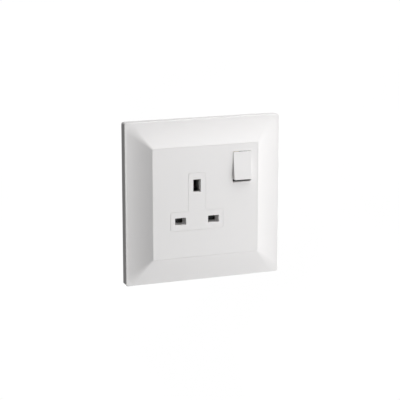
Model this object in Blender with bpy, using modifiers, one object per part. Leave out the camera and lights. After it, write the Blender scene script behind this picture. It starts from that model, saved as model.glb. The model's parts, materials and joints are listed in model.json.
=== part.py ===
"""Single switched socket with three pin apertures, a rocker switch and a square clip-on surround.

Metres, +Z up. The wall is the plane Y = 0, the face of the socket looks along -Y, and the origin is
midway between the two fixing screws. The rocker is at rest with its top pressed in (off).
"""

import math

import bmesh
import bpy
from mathutils import Matrix, Vector

MM = 0.001

# Fits between pieces
SEAT_GAP = 0.3 * MM  # between pieces that rest on each other
COVER_GAP = 0.1 * MM  # round the centre cover, inside the surround
RUNNING_GAP = 0.15 * MM  # round a pin that turns or slides
EASY_GAP = 0.35 * MM  # round a piece that moves freely

# Surround
PLATE_SIDE = 104 * MM
PLATE_CORNER = 1.6 * MM
RIM_DEPTH = 6.5 * MM  # from the wall to the flat rim
RIM_WIDTH = 1.2 * MM
RIM_EDGE = 0.3 * MM
CREST_RISE = 4.0 * MM  # from the rim to the crest round the cover
CREST_EDGE = 0.12 * MM
SCOOP_RATIO = 3.6  # how much steeper the slope is at the crest than at the rim
MITRE_SOFTNESS = 0.28  # growth of the corner radius with the distance from the crest
FRAME_WALL = 2.0 * MM
FRAME_LIP = 1.6 * MM  # thickness of the lip round the cover
FRAME_LIP_DEPTH = 5.0 * MM
SLOPE_STEPS = 9
CORNER_STEPS = 6

# Centre cover
COVER_SIDE = 70.8 * MM
COVER_CORNER = 0.8 * MM
COVER_EDGE = 0.15 * MM
COVER_WALL = 2.0 * MM
SKIRT_WALL = 1.6 * MM
SKIRT_DEPTH = 6.0 * MM
PAD_RISE = 0.4 * MM
PAD_EDGE = 0.2 * MM
PAD_CORNER = 1.2 * MM
PAD_STEM_WIDTH = 11.6 * MM
PAD_STEM_ABOVE = 8.3 * MM  # from the earth pin's axis to the top of the pad
PAD_BASE_WIDTH = 37.6 * MM
PAD_BASE_BELOW = 6.6 * MM
PAD_BASE_ABOVE = 6.1 * MM

# Pins, by the common rectangular three-pin pattern
PIN_PITCH = 22.2 * MM
PIN_GROUP_X = -6.0 * MM
LIVE_ROW_Z = -11.9 * MM
PLUG_EARTH_PIN = 22.7 * MM  # length of a plug's earth pin
LIVE_SLOT = (7.3 * MM, 4.5 * MM)
EARTH_SLOT = (5.0 * MM, 8.1 * MM)
SLOT_CORNER = 0.35 * MM
SLEEVE_WALL = 1.3 * MM
LIVE_SLEEVE_DEPTH = 7.4 * MM  # from the pad's face
EARTH_SLEEVE_DEPTH = 3.4 * MM

# Rocker and its opening
ROCKER_X = 24.4 * MM
ROCKER_Z = 20.5 * MM
ROCKER_WIDTH = 12.3 * MM
ROCKER_HEIGHT = 18.4 * MM
ROCKER_REACH = 6.2 * MM  # from the pivot to the middle of the face
ROCKER_DISH = 0.25 * MM
ROCKER_WALL = 1.3 * MM
ROCKER_TAPER = 1.1 * MM  # how far each end draws in towards its back edge
ROCKER_BACK = 0.4 * MM  # back edge behind the pivot
ROCKER_EDGE = 0.35 * MM
ROCKER_WEB = 1.2 * MM
ROCKER_THROW = math.radians(15)
OPENING_SIDE_GAP = 0.4 * MM
OPENING_HEIGHT = 20.4 * MM
OPENING_CORNER = 0.8 * MM
BORDER_WIDTH = 1.3 * MM
BORDER_RISE = 0.22 * MM
TRUNNION_RADIUS = 1.5 * MM
TRUNNION_LENGTH = 1.6 * MM
CHEEK_WALL = 1.4 * MM
CHEEK_HALF = 3.4 * MM
PIVOT_DEPTH = 5.0 * MM  # behind the cover's face

# Plunger
PLUNGER_RADIUS = 1.5 * MM
PLUNGER_TIP_RADIUS = 1.0 * MM
PLUNGER_REACH = 7.3 * MM  # from the rocker's pivot to the tip
PLUNGER_BACK = 0.5 * MM
GUIDE_WALL = 1.1 * MM
GUIDE_END = 3.0 * MM
GUIDE_BLIND = 4.6 * MM
PLUNGER_SPRING_WIRE = 0.3 * MM
PLUNGER_SPRING_TURNS = 5

# Tilting contact arm
ARM_THROW = math.radians(20)
ARM_WIDTH = 5.0 * MM
ARM_THICK = 0.8 * MM
ARM_STANDOFF = 0.4 * MM  # from the pivot to the back of the arm
ARM_LOW = 6.5 * MM
ARM_HIGH = 8.9 * MM
ARM_RIB_RADIUS = 0.55 * MM
TIP_RADIUS = 1.5 * MM
TIP_THICK = 0.9 * MM
TIP_CROWN = 0.3 * MM
TIP_PLACE = 7.3 * MM
TIP_SHANK_RADIUS = 0.6 * MM

# Front housing
HOUSING_WALL = 1.6 * MM
HOUSING_LEFT = -25.0 * MM
HOUSING_RIGHT = 25.0 * MM
HOUSING_HALF_Z = 27.0 * MM
HOUSING_CORNER = 2.0 * MM
BUMP_MARGIN_X = 2.6 * MM  # round the rocker's opening
BUMP_MARGIN_Z = 2.0 * MM
EAR_RADIUS = 3.0 * MM

# Support plate
SHEET = 1.0 * MM
SUPPORT_WIDTH = 77 * MM
SUPPORT_CORNER = 6.0 * MM
FLANGE_DEPTH = 4.4 * MM
FLANGE_PLACE = 39.3 * MM  # inner face of the turned edges, from the middle
FLANGE_LENGTH = 34 * MM
CLIP_PITCH = 20 * MM
CLIP_WIDTH = 6.0 * MM
CLIP_THICK = 1.5 * MM
CLIP_BARB = 0.9 * MM
CLIP_BARB_HEIGHT = 1.4 * MM
CLIP_END = 1.4 * MM  # from the wall to the end of a clip

# Screws
FIXING_PITCH = 60.3 * MM
FIXING_RADIUS = 1.7 * MM
FIXING_HEAD_RADIUS = 3.2 * MM
FIXING_HEAD_HEIGHT = 1.8 * MM
FIXING_LENGTH = 20 * MM
FIXING_SLOT = 3.0 * MM  # sideways play of one fixing hole
LUG_CLEARANCE = 4.5 * MM  # room for a wall box's lug beside each fixing screw
ASSEMBLY_RADIUS = 1.25 * MM
ASSEMBLY_HEAD_RADIUS = 2.4 * MM
ASSEMBLY_HEAD_HEIGHT = 1.6 * MM
ASSEMBLY_GRIP = 4.0 * MM  # length inside the front housing
EAR_STAND = 2.4 * MM  # from the front housing's wall out to an assembly screw
EAR_SETBACK = 7.0 * MM  # from the housing's top or bottom to a side screw
RECESS_WIDTH = 0.5 * MM
RECESS_DEPTH = 0.9 * MM
RECESS_REACH = 0.62  # of the head's radius

# Rear base
BASE_FLANGE = 3.0 * MM
BASE_DEPTH = 22.0 * MM
BASE_WALL = 1.3 * MM
BASE_CORNER = 1.6 * MM
FLANGE_MARGIN = 3.4 * MM  # round the assembly screws
REAR_WALL = 1.6 * MM
POCKET_GAP = 0.5 * MM
BARRIER_THICK = 0.9 * MM

# Contacts and terminals
STRIP = 0.8 * MM
STRIP_WIDTH = 4.0 * MM
LEAF = 0.6 * MM
PIN_THICK = 4.0 * MM
LIVE_PIN_WIDTH = 6.4 * MM
EARTH_LEAF_HEIGHT = 6.5 * MM
EARTH_LEAF_FRONT = -7.1 * MM
EARTH_MOUTH_HALF = 2.45 * MM  # from the earth pin's axis to a leaf's lip
LIVE_LEAF_FRONT = 1.0 * MM
TERMINAL_WIDTH = 8.0 * MM
TERMINAL_DEPTH = 7.0 * MM
TERMINAL_HEIGHT = 9.0 * MM
TERMINAL_CORNER = 0.6 * MM
TERMINAL_Z = 23.2 * MM
NEUTRAL_TERMINAL_X = -19.1 * MM
LINE_TERMINAL_X = 10.2 * MM
WIRE_RADIUS = 2.0 * MM
WIRE_INSET = 3.2 * MM  # from a terminal's front to its wire bore's axis
TERMINAL_SCREW_RADIUS = 1.6 * MM
TERMINAL_HEAD_RADIUS = 2.5 * MM
LINE_RISER_X = 21.6 * MM
CRADLE_HALF = 1.6 * MM

# Shutter
SHUTTER_THICK = 1.7 * MM
SHUTTER_TRAVEL = 5.5 * MM
SHUTTER_HALF = 15.6 * MM
SHUTTER_OVERLAP = 0.85 * MM  # above and below each live aperture
TONGUE_HALF = 1.4 * MM
RAMP_FRONT = -4.9 * MM
SPRING_RADIUS = 1.2 * MM
SPRING_WIRE = 0.35 * MM
SPRING_TURNS = 5
SPRING_SEAT = 1.6 * MM

FACE_Y = -(RIM_DEPTH + CREST_RISE)
PAD_Y = FACE_Y - PAD_RISE
COVER_BACK = FACE_Y + COVER_WALL
PIVOT_Y = FACE_Y + PIVOT_DEPTH
EARTH_X = PIN_GROUP_X
EARTH_Z = LIVE_ROW_Z + PIN_PITCH
NEUTRAL_X = PIN_GROUP_X - PIN_PITCH / 2
LINE_X = PIN_GROUP_X + PIN_PITCH / 2
OPENING_WIDTH = ROCKER_WIDTH + 2 * OPENING_SIDE_GAP
HOUSING_FRONT = PAD_Y + EARTH_SLEEVE_DEPTH + SEAT_GAP
HOUSING_BACK = -SHEET - SEAT_GAP
ARM_FRONT = PIVOT_Y + PLUNGER_REACH + SEAT_GAP
ARM_PIVOT_Y = ARM_FRONT + ARM_THICK + ARM_STANDOFF
BASE_FRONT = SEAT_GAP
TERMINAL_BACK = BASE_DEPTH - REAR_WALL - SEAT_GAP
TERMINAL_FRONT = TERMINAL_BACK - TERMINAL_DEPTH
STRAP_BACK = TERMINAL_FRONT - SEAT_GAP  # of the flat straps, behind the wall plane
STRAP_FRONT = STRAP_BACK - STRIP
WIRE_Y = TERMINAL_FRONT + WIRE_INSET
SHUTTER_FRONT = PAD_Y + LIVE_SLEEVE_DEPTH + SEAT_GAP
SHUTTER_BACK = SHUTTER_FRONT + SHUTTER_THICK
SHUTTER_TOP = LIVE_ROW_Z + LIVE_SLOT[1] / 2 + SHUTTER_OVERLAP
SHUTTER_BOTTOM = LIVE_ROW_Z - LIVE_SLOT[1] / 2 - SHUTTER_OVERLAP
BUMP_LEFT = ROCKER_X - OPENING_WIDTH / 2 - BUMP_MARGIN_X
BUMP_RIGHT = ROCKER_X + OPENING_WIDTH / 2 + BUMP_MARGIN_X
BUMP_LOW = ROCKER_Z - OPENING_HEIGHT / 2 - BUMP_MARGIN_Z
BUMP_HIGH = ROCKER_Z + OPENING_HEIGHT / 2 + BUMP_MARGIN_Z
EDGE_STEPS = 4
ROUND_STEPS = 16

WHITE = ("white_plastic", (0.86, 0.87, 0.87), 0.28, 0.0)
INNER_WHITE = ("inner_white_plastic", (0.78, 0.79, 0.79), 0.45, 0.0)
GREY = ("grey_moulding", (0.20, 0.21, 0.22), 0.5, 0.0)
BLACK = ("black_plastic", (0.015, 0.015, 0.016), 0.5, 0.0)
STEEL = ("plated_steel", (0.62, 0.63, 0.64), 0.35, 1.0)
BRASS = ("brass", (0.72, 0.55, 0.27), 0.35, 1.0)
SILVER = ("contact_silver", (0.80, 0.79, 0.77), 0.3, 1.0)

PARTS = "switched_socket"
CUTTERS = "cutters"


# Scene and object helpers


def clear_scene():
    for item in list(bpy.data.objects):
        bpy.data.objects.remove(item, do_unlink=True)


def collection(name):
    found = bpy.data.collections.get(name)
    if found is None:
        found = bpy.data.collections.new(name)
        bpy.context.scene.collection.children.link(found)
    return found


def material(finish):
    name, colour, roughness, metallic = finish
    made = bpy.data.materials.get(name)
    if made is None:
        made = bpy.data.materials.new(name)
        made.use_nodes = True
        shader = made.node_tree.nodes["Principled BSDF"]
        shader.inputs["Base Color"].default_value = (*colour, 1)
        shader.inputs["Roughness"].default_value = roughness
        shader.inputs["Metallic"].default_value = metallic
    return made


def add(name, bm, finish=None, parent=None):
    """A new object from bm: a part when it has a finish, otherwise a cutter."""
    bmesh.ops.recalc_face_normals(bm, faces=bm.faces)
    mesh = bpy.data.meshes.new(name)
    bm.to_mesh(mesh)
    bm.free()
    made = bpy.data.objects.new(name, mesh)
    made.parent = parent
    if finish:
        mesh.materials.append(material(finish))
        collection(PARTS).objects.link(made)
    else:
        hide(made)
    return made


def hide(tool):
    tool.hide_render = True
    tool.display_type = "WIRE"
    collection(CUTTERS).objects.link(tool)


def pivot(name, place, turn=0.0):
    made = bpy.data.objects.new(name, None)
    made.location = place
    made.rotation_euler = (turn, 0, 0)
    collection(PARTS).objects.link(made)
    return made


def combine(target, tool, operation):
    step = target.modifiers.new(tool.name, "BOOLEAN")
    step.operation = operation
    step.solver = "EXACT"
    step.object = tool


def cut(target, *tools):
    for tool in tools:
        combine(target, tool, "DIFFERENCE")


def join(target, *tools):
    for tool in tools:
        combine(target, tool, "UNION")


# Shapes


def rounded(points, radius, steps=EDGE_STEPS):
    """The outline through points with each corner turned into an arc."""
    made = []
    count = len(points)
    for i, point in enumerate(points):
        here = Vector(point)
        before = (Vector(points[i - 1]) - here).normalized()
        after = (Vector(points[(i + 1) % count]) - here).normalized()
        half = before.angle(after) / 2
        setback = radius / math.tan(half)
        middle = here + (before + after).normalized() * radius / math.sin(half)
        first = here + before * setback - middle
        last = here + after * setback - middle
        sweep = first.angle_signed(last)
        for step in range(steps + 1):
            made.append(tuple(middle + Matrix.Rotation(-sweep * step / steps, 2) @ first))
    return made


def rectangle(low_u, low_v, high_u, high_v):
    return [(low_u, low_v), (high_u, low_v), (high_u, high_v), (low_u, high_v)]


def centred(middle_u, middle_v, width, height):
    return rectangle(middle_u - width / 2, middle_v - height / 2, middle_u + width / 2, middle_v + height / 2)


def extruded(points, direction):
    bm = bmesh.new()
    face = bm.faces.new([bm.verts.new(point) for point in points])
    far = bmesh.ops.extrude_face_region(bm, geom=[face])["geom"]
    bmesh.ops.translate(bm, verts=[v for v in far if isinstance(v, bmesh.types.BMVert)], vec=direction)
    return bm


def slab(outline, front, back):
    """An X-Z outline made solid from Y = front to Y = back."""
    return extruded([(u, front, v) for u, v in outline], (0, back - front, 0))


def bar(outline, left, right):
    """A Y-Z outline made solid from X = left to X = right."""
    return extruded([(left, u, v) for u, v in outline], (right - left, 0, 0))


def column(outline, low, high):
    """An X-Y outline made solid from Z = low to Z = high."""
    return extruded([(u, v, low) for u, v in outline], (0, 0, high - low))


def block(left, right, front, back, low, high):
    return slab(rectangle(left, low, right, high), front, back)


def rod(radius, start, end, segments=ROUND_STEPS):
    start, end = Vector(start), Vector(end)
    turn = (end - start).to_track_quat("Z", "Y").to_matrix().to_4x4()
    bm = bmesh.new()
    bmesh.ops.create_cone(
        bm,
        cap_ends=True,
        segments=segments,
        radius1=radius,
        radius2=radius,
        depth=(end - start).length,
        matrix=Matrix.Translation((start + end) / 2) @ turn,
    )
    return bm


def ring(half, corner, y, steps=CORNER_STEPS):
    outline = rounded(centred(0, 0, 2 * half, 2 * half), corner, steps)
    return [(u, y, v) for u, v in outline]


def loft(rings, closed):
    """A skin through rings of equal length, closed back on itself or capped at its two ends."""
    bm = bmesh.new()
    rows = [[bm.verts.new(point) for point in points] for points in rings]
    count = len(rows[0])
    for i in range(len(rows) if closed else len(rows) - 1):
        near, far = rows[i], rows[(i + 1) % len(rows)]
        for j in range(count):
            k = (j + 1) % count
            bm.faces.new((near[j], near[k], far[k], far[j]))
    if not closed:
        bm.faces.new(rows[0])
        bm.faces.new(rows[-1])
    return bm


def turned(name, profile, place, finish=None, parent=None, steps=ROUND_STEPS, front=True):
    """A piece turned about the Y direction: profile is (radius, height) from the top down."""
    bm = bmesh.new()
    points = [bm.verts.new((radius, 0, height)) for radius, height in profile]
    for near, far in zip(points, points[1:]):
        bm.edges.new((near, far))
    mesh = bpy.data.meshes.new(name)
    bm.to_mesh(mesh)
    bm.free()
    made = bpy.data.objects.new(name, mesh)
    made.parent = parent
    made.location = place
    made.rotation_euler = (math.radians(90 if front else -90), 0, 0)
    spin = made.modifiers.new("turn", "SCREW")
    spin.steps = spin.render_steps = steps
    spin.use_merge_vertices = True
    spin.merge_threshold = 0.00001
    if finish:
        mesh.materials.append(material(finish))
        collection(PARTS).objects.link(made)
    else:
        hide(made)
    return made


def folded_strip(centre_line, thickness):
    """The outline of a strip bent along centre_line, which is its left side."""
    outer = []
    for i, point in enumerate(centre_line):
        here = Vector(point)
        ways = []
        if i:
            ways.append((here - Vector(centre_line[i - 1])).normalized())
        if i < len(centre_line) - 1:
            ways.append((Vector(centre_line[i + 1]) - here).normalized())
        along = sum(ways, Vector((0, 0))).normalized()
        across = Vector((along.y, -along.x))
        stretch = 1 / across.dot(Vector((ways[0].y, -ways[0].x)))
        outer.append(tuple(here + across * thickness * stretch))
    return list(centre_line) + outer[::-1]


def coil(name, place, radius, wire, turns, length, finish, turn=0.0, parent=None):
    """A compression spring along local +Z with closed ends, starting at place."""
    curve = bpy.data.curves.new(name, "CURVE")
    curve.dimensions = "3D"
    curve.bevel_depth = wire / 2
    curve.bevel_resolution = 1
    curve.use_fill_caps = True
    per_turn = 10
    total = (turns + 2) * per_turn
    spline = curve.splines.new("POLY")
    spline.points.add(total)
    travel = length - 3 * wire
    for i in range(total + 1):
        angle = 2 * math.pi * i / per_turn
        done = min(max(i / per_turn - 1, 0), turns) / turns
        closed_coil = min(i / per_turn, 1) + max(i / per_turn - 1 - turns, 0)
        height = wire / 2 + travel * done + closed_coil * wire
        spline.points[i].co = (radius * math.cos(angle), radius * math.sin(angle), height, 1)
    curve.materials.append(material(finish))
    made = bpy.data.objects.new(name, curve)
    made.parent = parent
    made.location = place
    made.rotation_euler = (turn, 0, 0)
    collection(PARTS).objects.link(made)
    return made


# Outlines that several pieces share


def bumped(left, right, low, high, grow, corner):
    """The mechanism's outline: a rectangle with a bump at its upper right for the switch."""
    points = [
        (left - grow, low - grow),
        (right + grow, low - grow),
        (right + grow, BUMP_LOW - grow),
        (BUMP_RIGHT + grow, BUMP_LOW - grow),
        (BUMP_RIGHT + grow, BUMP_HIGH + grow),
        (BUMP_LEFT - grow, BUMP_HIGH + grow),
        (BUMP_LEFT - grow, high + grow),
        (left - grow, high + grow),
    ]
    return rounded(points, corner)


def housing_outline(grow, corner=HOUSING_CORNER):
    return bumped(HOUSING_LEFT, HOUSING_RIGHT, -HOUSING_HALF_Z, HOUSING_HALF_Z, grow, corner)


def slot_outline(kind, grow=0.0):
    """Pin apertures by place: neutral, line or earth."""
    middle_x, middle_z, (width, height) = {
        "neutral": (NEUTRAL_X, LIVE_ROW_Z, LIVE_SLOT),
        "line": (LINE_X, LIVE_ROW_Z, LIVE_SLOT),
        "earth": (EARTH_X, EARTH_Z, EARTH_SLOT),
    }[kind]
    return rounded(centred(middle_x, middle_z, width + 2 * grow, height + 2 * grow), SLOT_CORNER + grow)


def pad_outline(inset):
    half_stem = PAD_STEM_WIDTH / 2 - inset
    half_base = PAD_BASE_WIDTH / 2 - inset
    low = LIVE_ROW_Z - PAD_BASE_BELOW + inset
    middle = LIVE_ROW_Z + PAD_BASE_ABOVE - inset
    high = EARTH_Z + PAD_STEM_ABOVE - inset
    points = [
        (EARTH_X - half_base, low),
        (EARTH_X + half_base, low),
        (EARTH_X + half_base, middle),
        (EARTH_X + half_stem, middle),
        (EARTH_X + half_stem, high),
        (EARTH_X - half_stem, high),
        (EARTH_X - half_stem, middle),
        (EARTH_X - half_base, middle),
    ]
    return rounded(points, PAD_CORNER)


def opening_outline(grow):
    return rounded(
        centred(ROCKER_X, ROCKER_Z, OPENING_WIDTH + 2 * grow, OPENING_HEIGHT + 2 * grow),
        OPENING_CORNER + grow,
    )


def assembly_places():
    side = HOUSING_HALF_Z - EAR_SETBACK
    return {
        "upper_left": (HOUSING_LEFT - EAR_STAND, side),
        "lower_left": (HOUSING_LEFT - EAR_STAND, -side),
        "lower_right": (HOUSING_RIGHT + EAR_STAND, -side),
        "top": ((EARTH_X + LINE_TERMINAL_X) / 2, HOUSING_HALF_Z + EAR_STAND),
    }


def clip_places():
    return [(x, side) for x in (-CLIP_PITCH / 2, CLIP_PITCH / 2) for side in (-1, 1)]


# Surround


def slope_rise(distance, run):
    """Height over the rim at a distance out from the crest: the slope steepens towards the crest."""
    gentle = 2 * CREST_RISE / run / (1 + SCOOP_RATIO)
    inward = run - distance
    return gentle * inward + gentle * (SCOOP_RATIO - 1) * inward**2 / (2 * run)


def surround_frame():
    half = PLATE_SIDE / 2
    lip = COVER_SIDE / 2 + COVER_GAP
    crest = lip + CREST_EDGE
    run = half - RIM_WIDTH - crest

    def slope_ring(distance, sink):
        corner = COVER_CORNER + MITRE_SOFTNESS * distance
        return ring(crest + distance, corner, -RIM_DEPTH - slope_rise(distance, run) + sink)

    inner_run = half - FRAME_WALL - crest
    rings = [ring(half, PLATE_CORNER, 0), ring(half, PLATE_CORNER, RIM_EDGE - RIM_DEPTH)]
    rings.append(ring(half - RIM_EDGE, PLATE_CORNER, -RIM_DEPTH))
    rings += [slope_ring(run * (1 - i / SLOPE_STEPS), 0) for i in range(SLOPE_STEPS + 1)]
    rings.append(ring(lip, COVER_CORNER, FACE_Y + CREST_EDGE))
    rings.append(ring(lip, COVER_CORNER, FACE_Y + FRAME_LIP_DEPTH))
    rings.append(ring(lip + FRAME_LIP, COVER_CORNER, FACE_Y + FRAME_LIP_DEPTH))
    start = lip + FRAME_LIP - crest
    under = min(inner_run, run)
    for i in range(SLOPE_STEPS):
        rings.append(slope_ring(start + (under - start) * i / SLOPE_STEPS, FRAME_WALL))
    rings.append(ring(half - FRAME_WALL, PLATE_CORNER, FRAME_WALL - RIM_DEPTH))
    rings.append(ring(half - FRAME_WALL, PLATE_CORNER, 0))
    frame = add("surround_frame", loft(rings, closed=True), WHITE)

    near = FLANGE_PLACE + SHEET + SEAT_GAP
    root = -RIM_DEPTH - slope_rise(near - crest, run) + FRAME_WALL / 2
    barb_back = -CLIP_END
    barb_front = barb_back - CLIP_BARB_HEIGHT
    barb = near - SEAT_GAP - CLIP_BARB
    profile = [
        (root, near),
        (barb_front, near),
        (barb_front, barb),
        (barb_back, near),
        (barb_back, near + CLIP_THICK),
        (root, near + CLIP_THICK),
    ]
    for x, side in clip_places():
        outline = [(y, z * side) for y, z in profile]
        clip = bar(outline, x - CLIP_WIDTH / 2, x + CLIP_WIDTH / 2)
        join(frame, add("clip", clip))
    return frame


# Centre cover


def cover_shell():
    half = COVER_SIDE / 2
    inner = half - SKIRT_WALL
    back = FACE_Y + SKIRT_DEPTH
    rings = [
        ring(half - COVER_EDGE, COVER_CORNER, FACE_Y),
        ring(half - COVER_EDGE * 0.3, COVER_CORNER, FACE_Y + COVER_EDGE * 0.3),
        ring(half, COVER_CORNER, FACE_Y + COVER_EDGE),
        ring(half, COVER_CORNER, back),
        ring(inner, COVER_CORNER, back),
        ring(inner, COVER_CORNER, COVER_BACK),
    ]
    return add("centre_cover", loft(rings, closed=False), WHITE)


def raised(outline, inset_outline, rise):
    """A pad standing rise in front of the cover's face, with a chamfered edge, rooted in the wall."""
    root = FACE_Y + COVER_WALL / 2
    rings = [
        [(u, FACE_Y - rise, v) for u, v in inset_outline],
        [(u, FACE_Y - rise + PAD_EDGE, v) for u, v in outline],
        [(u, root, v) for u, v in outline],
    ]
    return loft(rings, closed=False)


def cover_sleeve(kind, depth):
    outline = slot_outline(kind, SLEEVE_WALL)
    return add("sleeve", slab(outline, COVER_BACK - COVER_WALL / 2, PAD_Y + depth))


def cover_clip(x, side):
    """A springy leg that hooks into a pocket in the side of the front housing."""
    near = HOUSING_HALF_Z + SEAT_GAP
    tip = HOUSING_BACK - CLIP_END
    hook = tip - CLIP_BARB_HEIGHT
    profile = [
        (COVER_BACK - COVER_WALL / 2, near),
        (hook, near),
        (hook, near - SEAT_GAP - CLIP_BARB),
        (tip, near),
        (tip, near + CLIP_THICK),
        (COVER_BACK - COVER_WALL / 2, near + CLIP_THICK),
    ]
    outline = [(y, z * side) for y, z in profile]
    return add("cover_clip", bar(outline, x - CLIP_WIDTH / 2, x + CLIP_WIDTH / 2))


def cover_clip_places():
    right = (LINE_TERMINAL_X + BUMP_LEFT) / 2 - CLIP_WIDTH / 2
    return [(x, side) for x in (NEUTRAL_X, right) for side in (-1, 1)]


def centre_cover():
    cover = cover_shell()
    join(cover, add("pad", raised(pad_outline(0), pad_outline(PAD_EDGE), PAD_RISE)))
    outer = opening_outline(BORDER_WIDTH)
    inner = opening_outline(BORDER_WIDTH - PAD_EDGE)
    join(cover, add("border", raised(outer, inner, BORDER_RISE)))
    for kind in ("neutral", "line", "earth"):
        depth = EARTH_SLEEVE_DEPTH if kind == "earth" else LIVE_SLEEVE_DEPTH
        join(cover, cover_sleeve(kind, depth))
    for x, side in cover_clip_places():
        join(cover, cover_clip(x, side))
    for kind in ("neutral", "line", "earth"):
        reach = PAD_Y + LIVE_SLEEVE_DEPTH + SEAT_GAP
        cut(cover, add(kind + "_slot", slab(slot_outline(kind), PAD_Y - PAD_RISE, reach)))
    front = FACE_Y - BORDER_RISE - SEAT_GAP
    cut(cover, add("rocker_opening", slab(opening_outline(0), front, COVER_BACK + SEAT_GAP)))
    return cover


# Front housing


def bearing_cheeks(housing):
    """Two springy cheeks with bores that the rocker's trunnions snap into."""
    radius = TRUNNION_RADIUS + RUNNING_GAP
    back = PIVOT_Y + radius + CHEEK_WALL
    low, high = ROCKER_Z - CHEEK_HALF, ROCKER_Z + CHEEK_HALF
    inner = OPENING_WIDTH / 2 + SEAT_GAP
    outer = inner + CHEEK_WALL
    for left, right in ((-outer, -inner), (inner, outer)):
        cheek = block(ROCKER_X + left, ROCKER_X + right, COVER_BACK + SEAT_GAP, back, low, high)
        join(housing, add("cheek", cheek))
    reach = outer + SEAT_GAP
    start = (ROCKER_X - reach, PIVOT_Y, ROCKER_Z)
    end = (ROCKER_X + reach, PIVOT_Y, ROCKER_Z)
    cut(housing, add("cheek_bore", rod(radius, start, end)))


def front_housing():
    housing = add("front_housing", slab(housing_outline(0), HOUSING_FRONT, HOUSING_BACK), INNER_WHITE)
    hollow = housing_outline(-HOUSING_WALL, HOUSING_CORNER / 2)
    cut(
        housing,
        add("hollow", slab(hollow, HOUSING_FRONT + HOUSING_WALL, HOUSING_BACK + SEAT_GAP)),
    )
    for name, (x, z) in assembly_places().items():
        join(housing, add(name + "_ear", rod(EAR_RADIUS, (x, HOUSING_FRONT, z), (x, HOUSING_BACK, z))))
    low = SHUTTER_BOTTOM - SHUTTER_TRAVEL
    for edge in (-1, 1):
        near = EARTH_X + edge * (SHUTTER_HALF + EASY_GAP)
        far = near + edge * HOUSING_WALL
        rail = block(
            min(near, far),
            max(near, far),
            HOUSING_FRONT + HOUSING_WALL / 2,
            HOUSING_BACK,
            low,
            SHUTTER_TOP,
        )
        join(housing, add("rail", rail))
    bearing_cheeks(housing)
    back = HOUSING_BACK + SEAT_GAP
    front = HOUSING_FRONT - SEAT_GAP
    for kind in ("neutral", "line"):
        passage = slot_outline(kind, SLEEVE_WALL + SEAT_GAP)
        cut(housing, add(kind + "_passage", slab(passage, front, SHUTTER_FRONT)))
    width = 2 * (EARTH_MOUTH_HALF + LEAF + SEAT_GAP)
    passage = centred(EARTH_X, EARTH_Z, width, EARTH_SLOT[1] + 2 * SEAT_GAP)
    cut(housing, add("earth_passage", slab(passage, front, SHUTTER_FRONT)))
    cut(housing, add("rocker_window", slab(opening_outline(0), front, back)))
    for x, z in assembly_places().values():
        start = (x, HOUSING_BACK + SEAT_GAP, z)
        end = (x, HOUSING_BACK - ASSEMBLY_GRIP - SEAT_GAP, z)
        cut(housing, add("screw_bore", rod(ASSEMBLY_RADIUS + RUNNING_GAP, start, end)))
    pocket_back = HOUSING_BACK - CLIP_END + SEAT_GAP
    pocket_front = pocket_back - CLIP_BARB_HEIGHT - 2 * SEAT_GAP
    for x, side in cover_clip_places():
        near = side * (HOUSING_HALF_Z + SEAT_GAP)
        far = side * (HOUSING_HALF_Z - CLIP_BARB - SEAT_GAP)
        half = CLIP_WIDTH / 2 + SEAT_GAP
        pocket = block(x - half, x + half, pocket_front, pocket_back, min(near, far), max(near, far))
        cut(housing, add("clip_pocket", pocket))
    return housing


# Rocker


def rocker_profile():
    """Side view about the pivot, front at -Y: a slightly dished face and ends that taper back."""
    half = ROCKER_HEIGHT / 2
    back = half - ROCKER_TAPER
    edge = ROCKER_EDGE
    face = []
    steps = 8
    for i in range(steps + 1):
        z = (half - edge) * (1 - 2 * i / steps)
        face.append((-ROCKER_REACH + ROCKER_DISH * (1 - (z / half) ** 2) - ROCKER_DISH, z))
    ends = [
        (-ROCKER_REACH + edge * 0.3, -half + edge * 0.3),
        (-ROCKER_REACH + edge, -half),
        (ROCKER_BACK, -back),
        (ROCKER_BACK, back),
        (-ROCKER_REACH + edge, half),
        (-ROCKER_REACH + edge * 0.3, half - edge * 0.3),
    ]
    return face + ends


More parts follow.
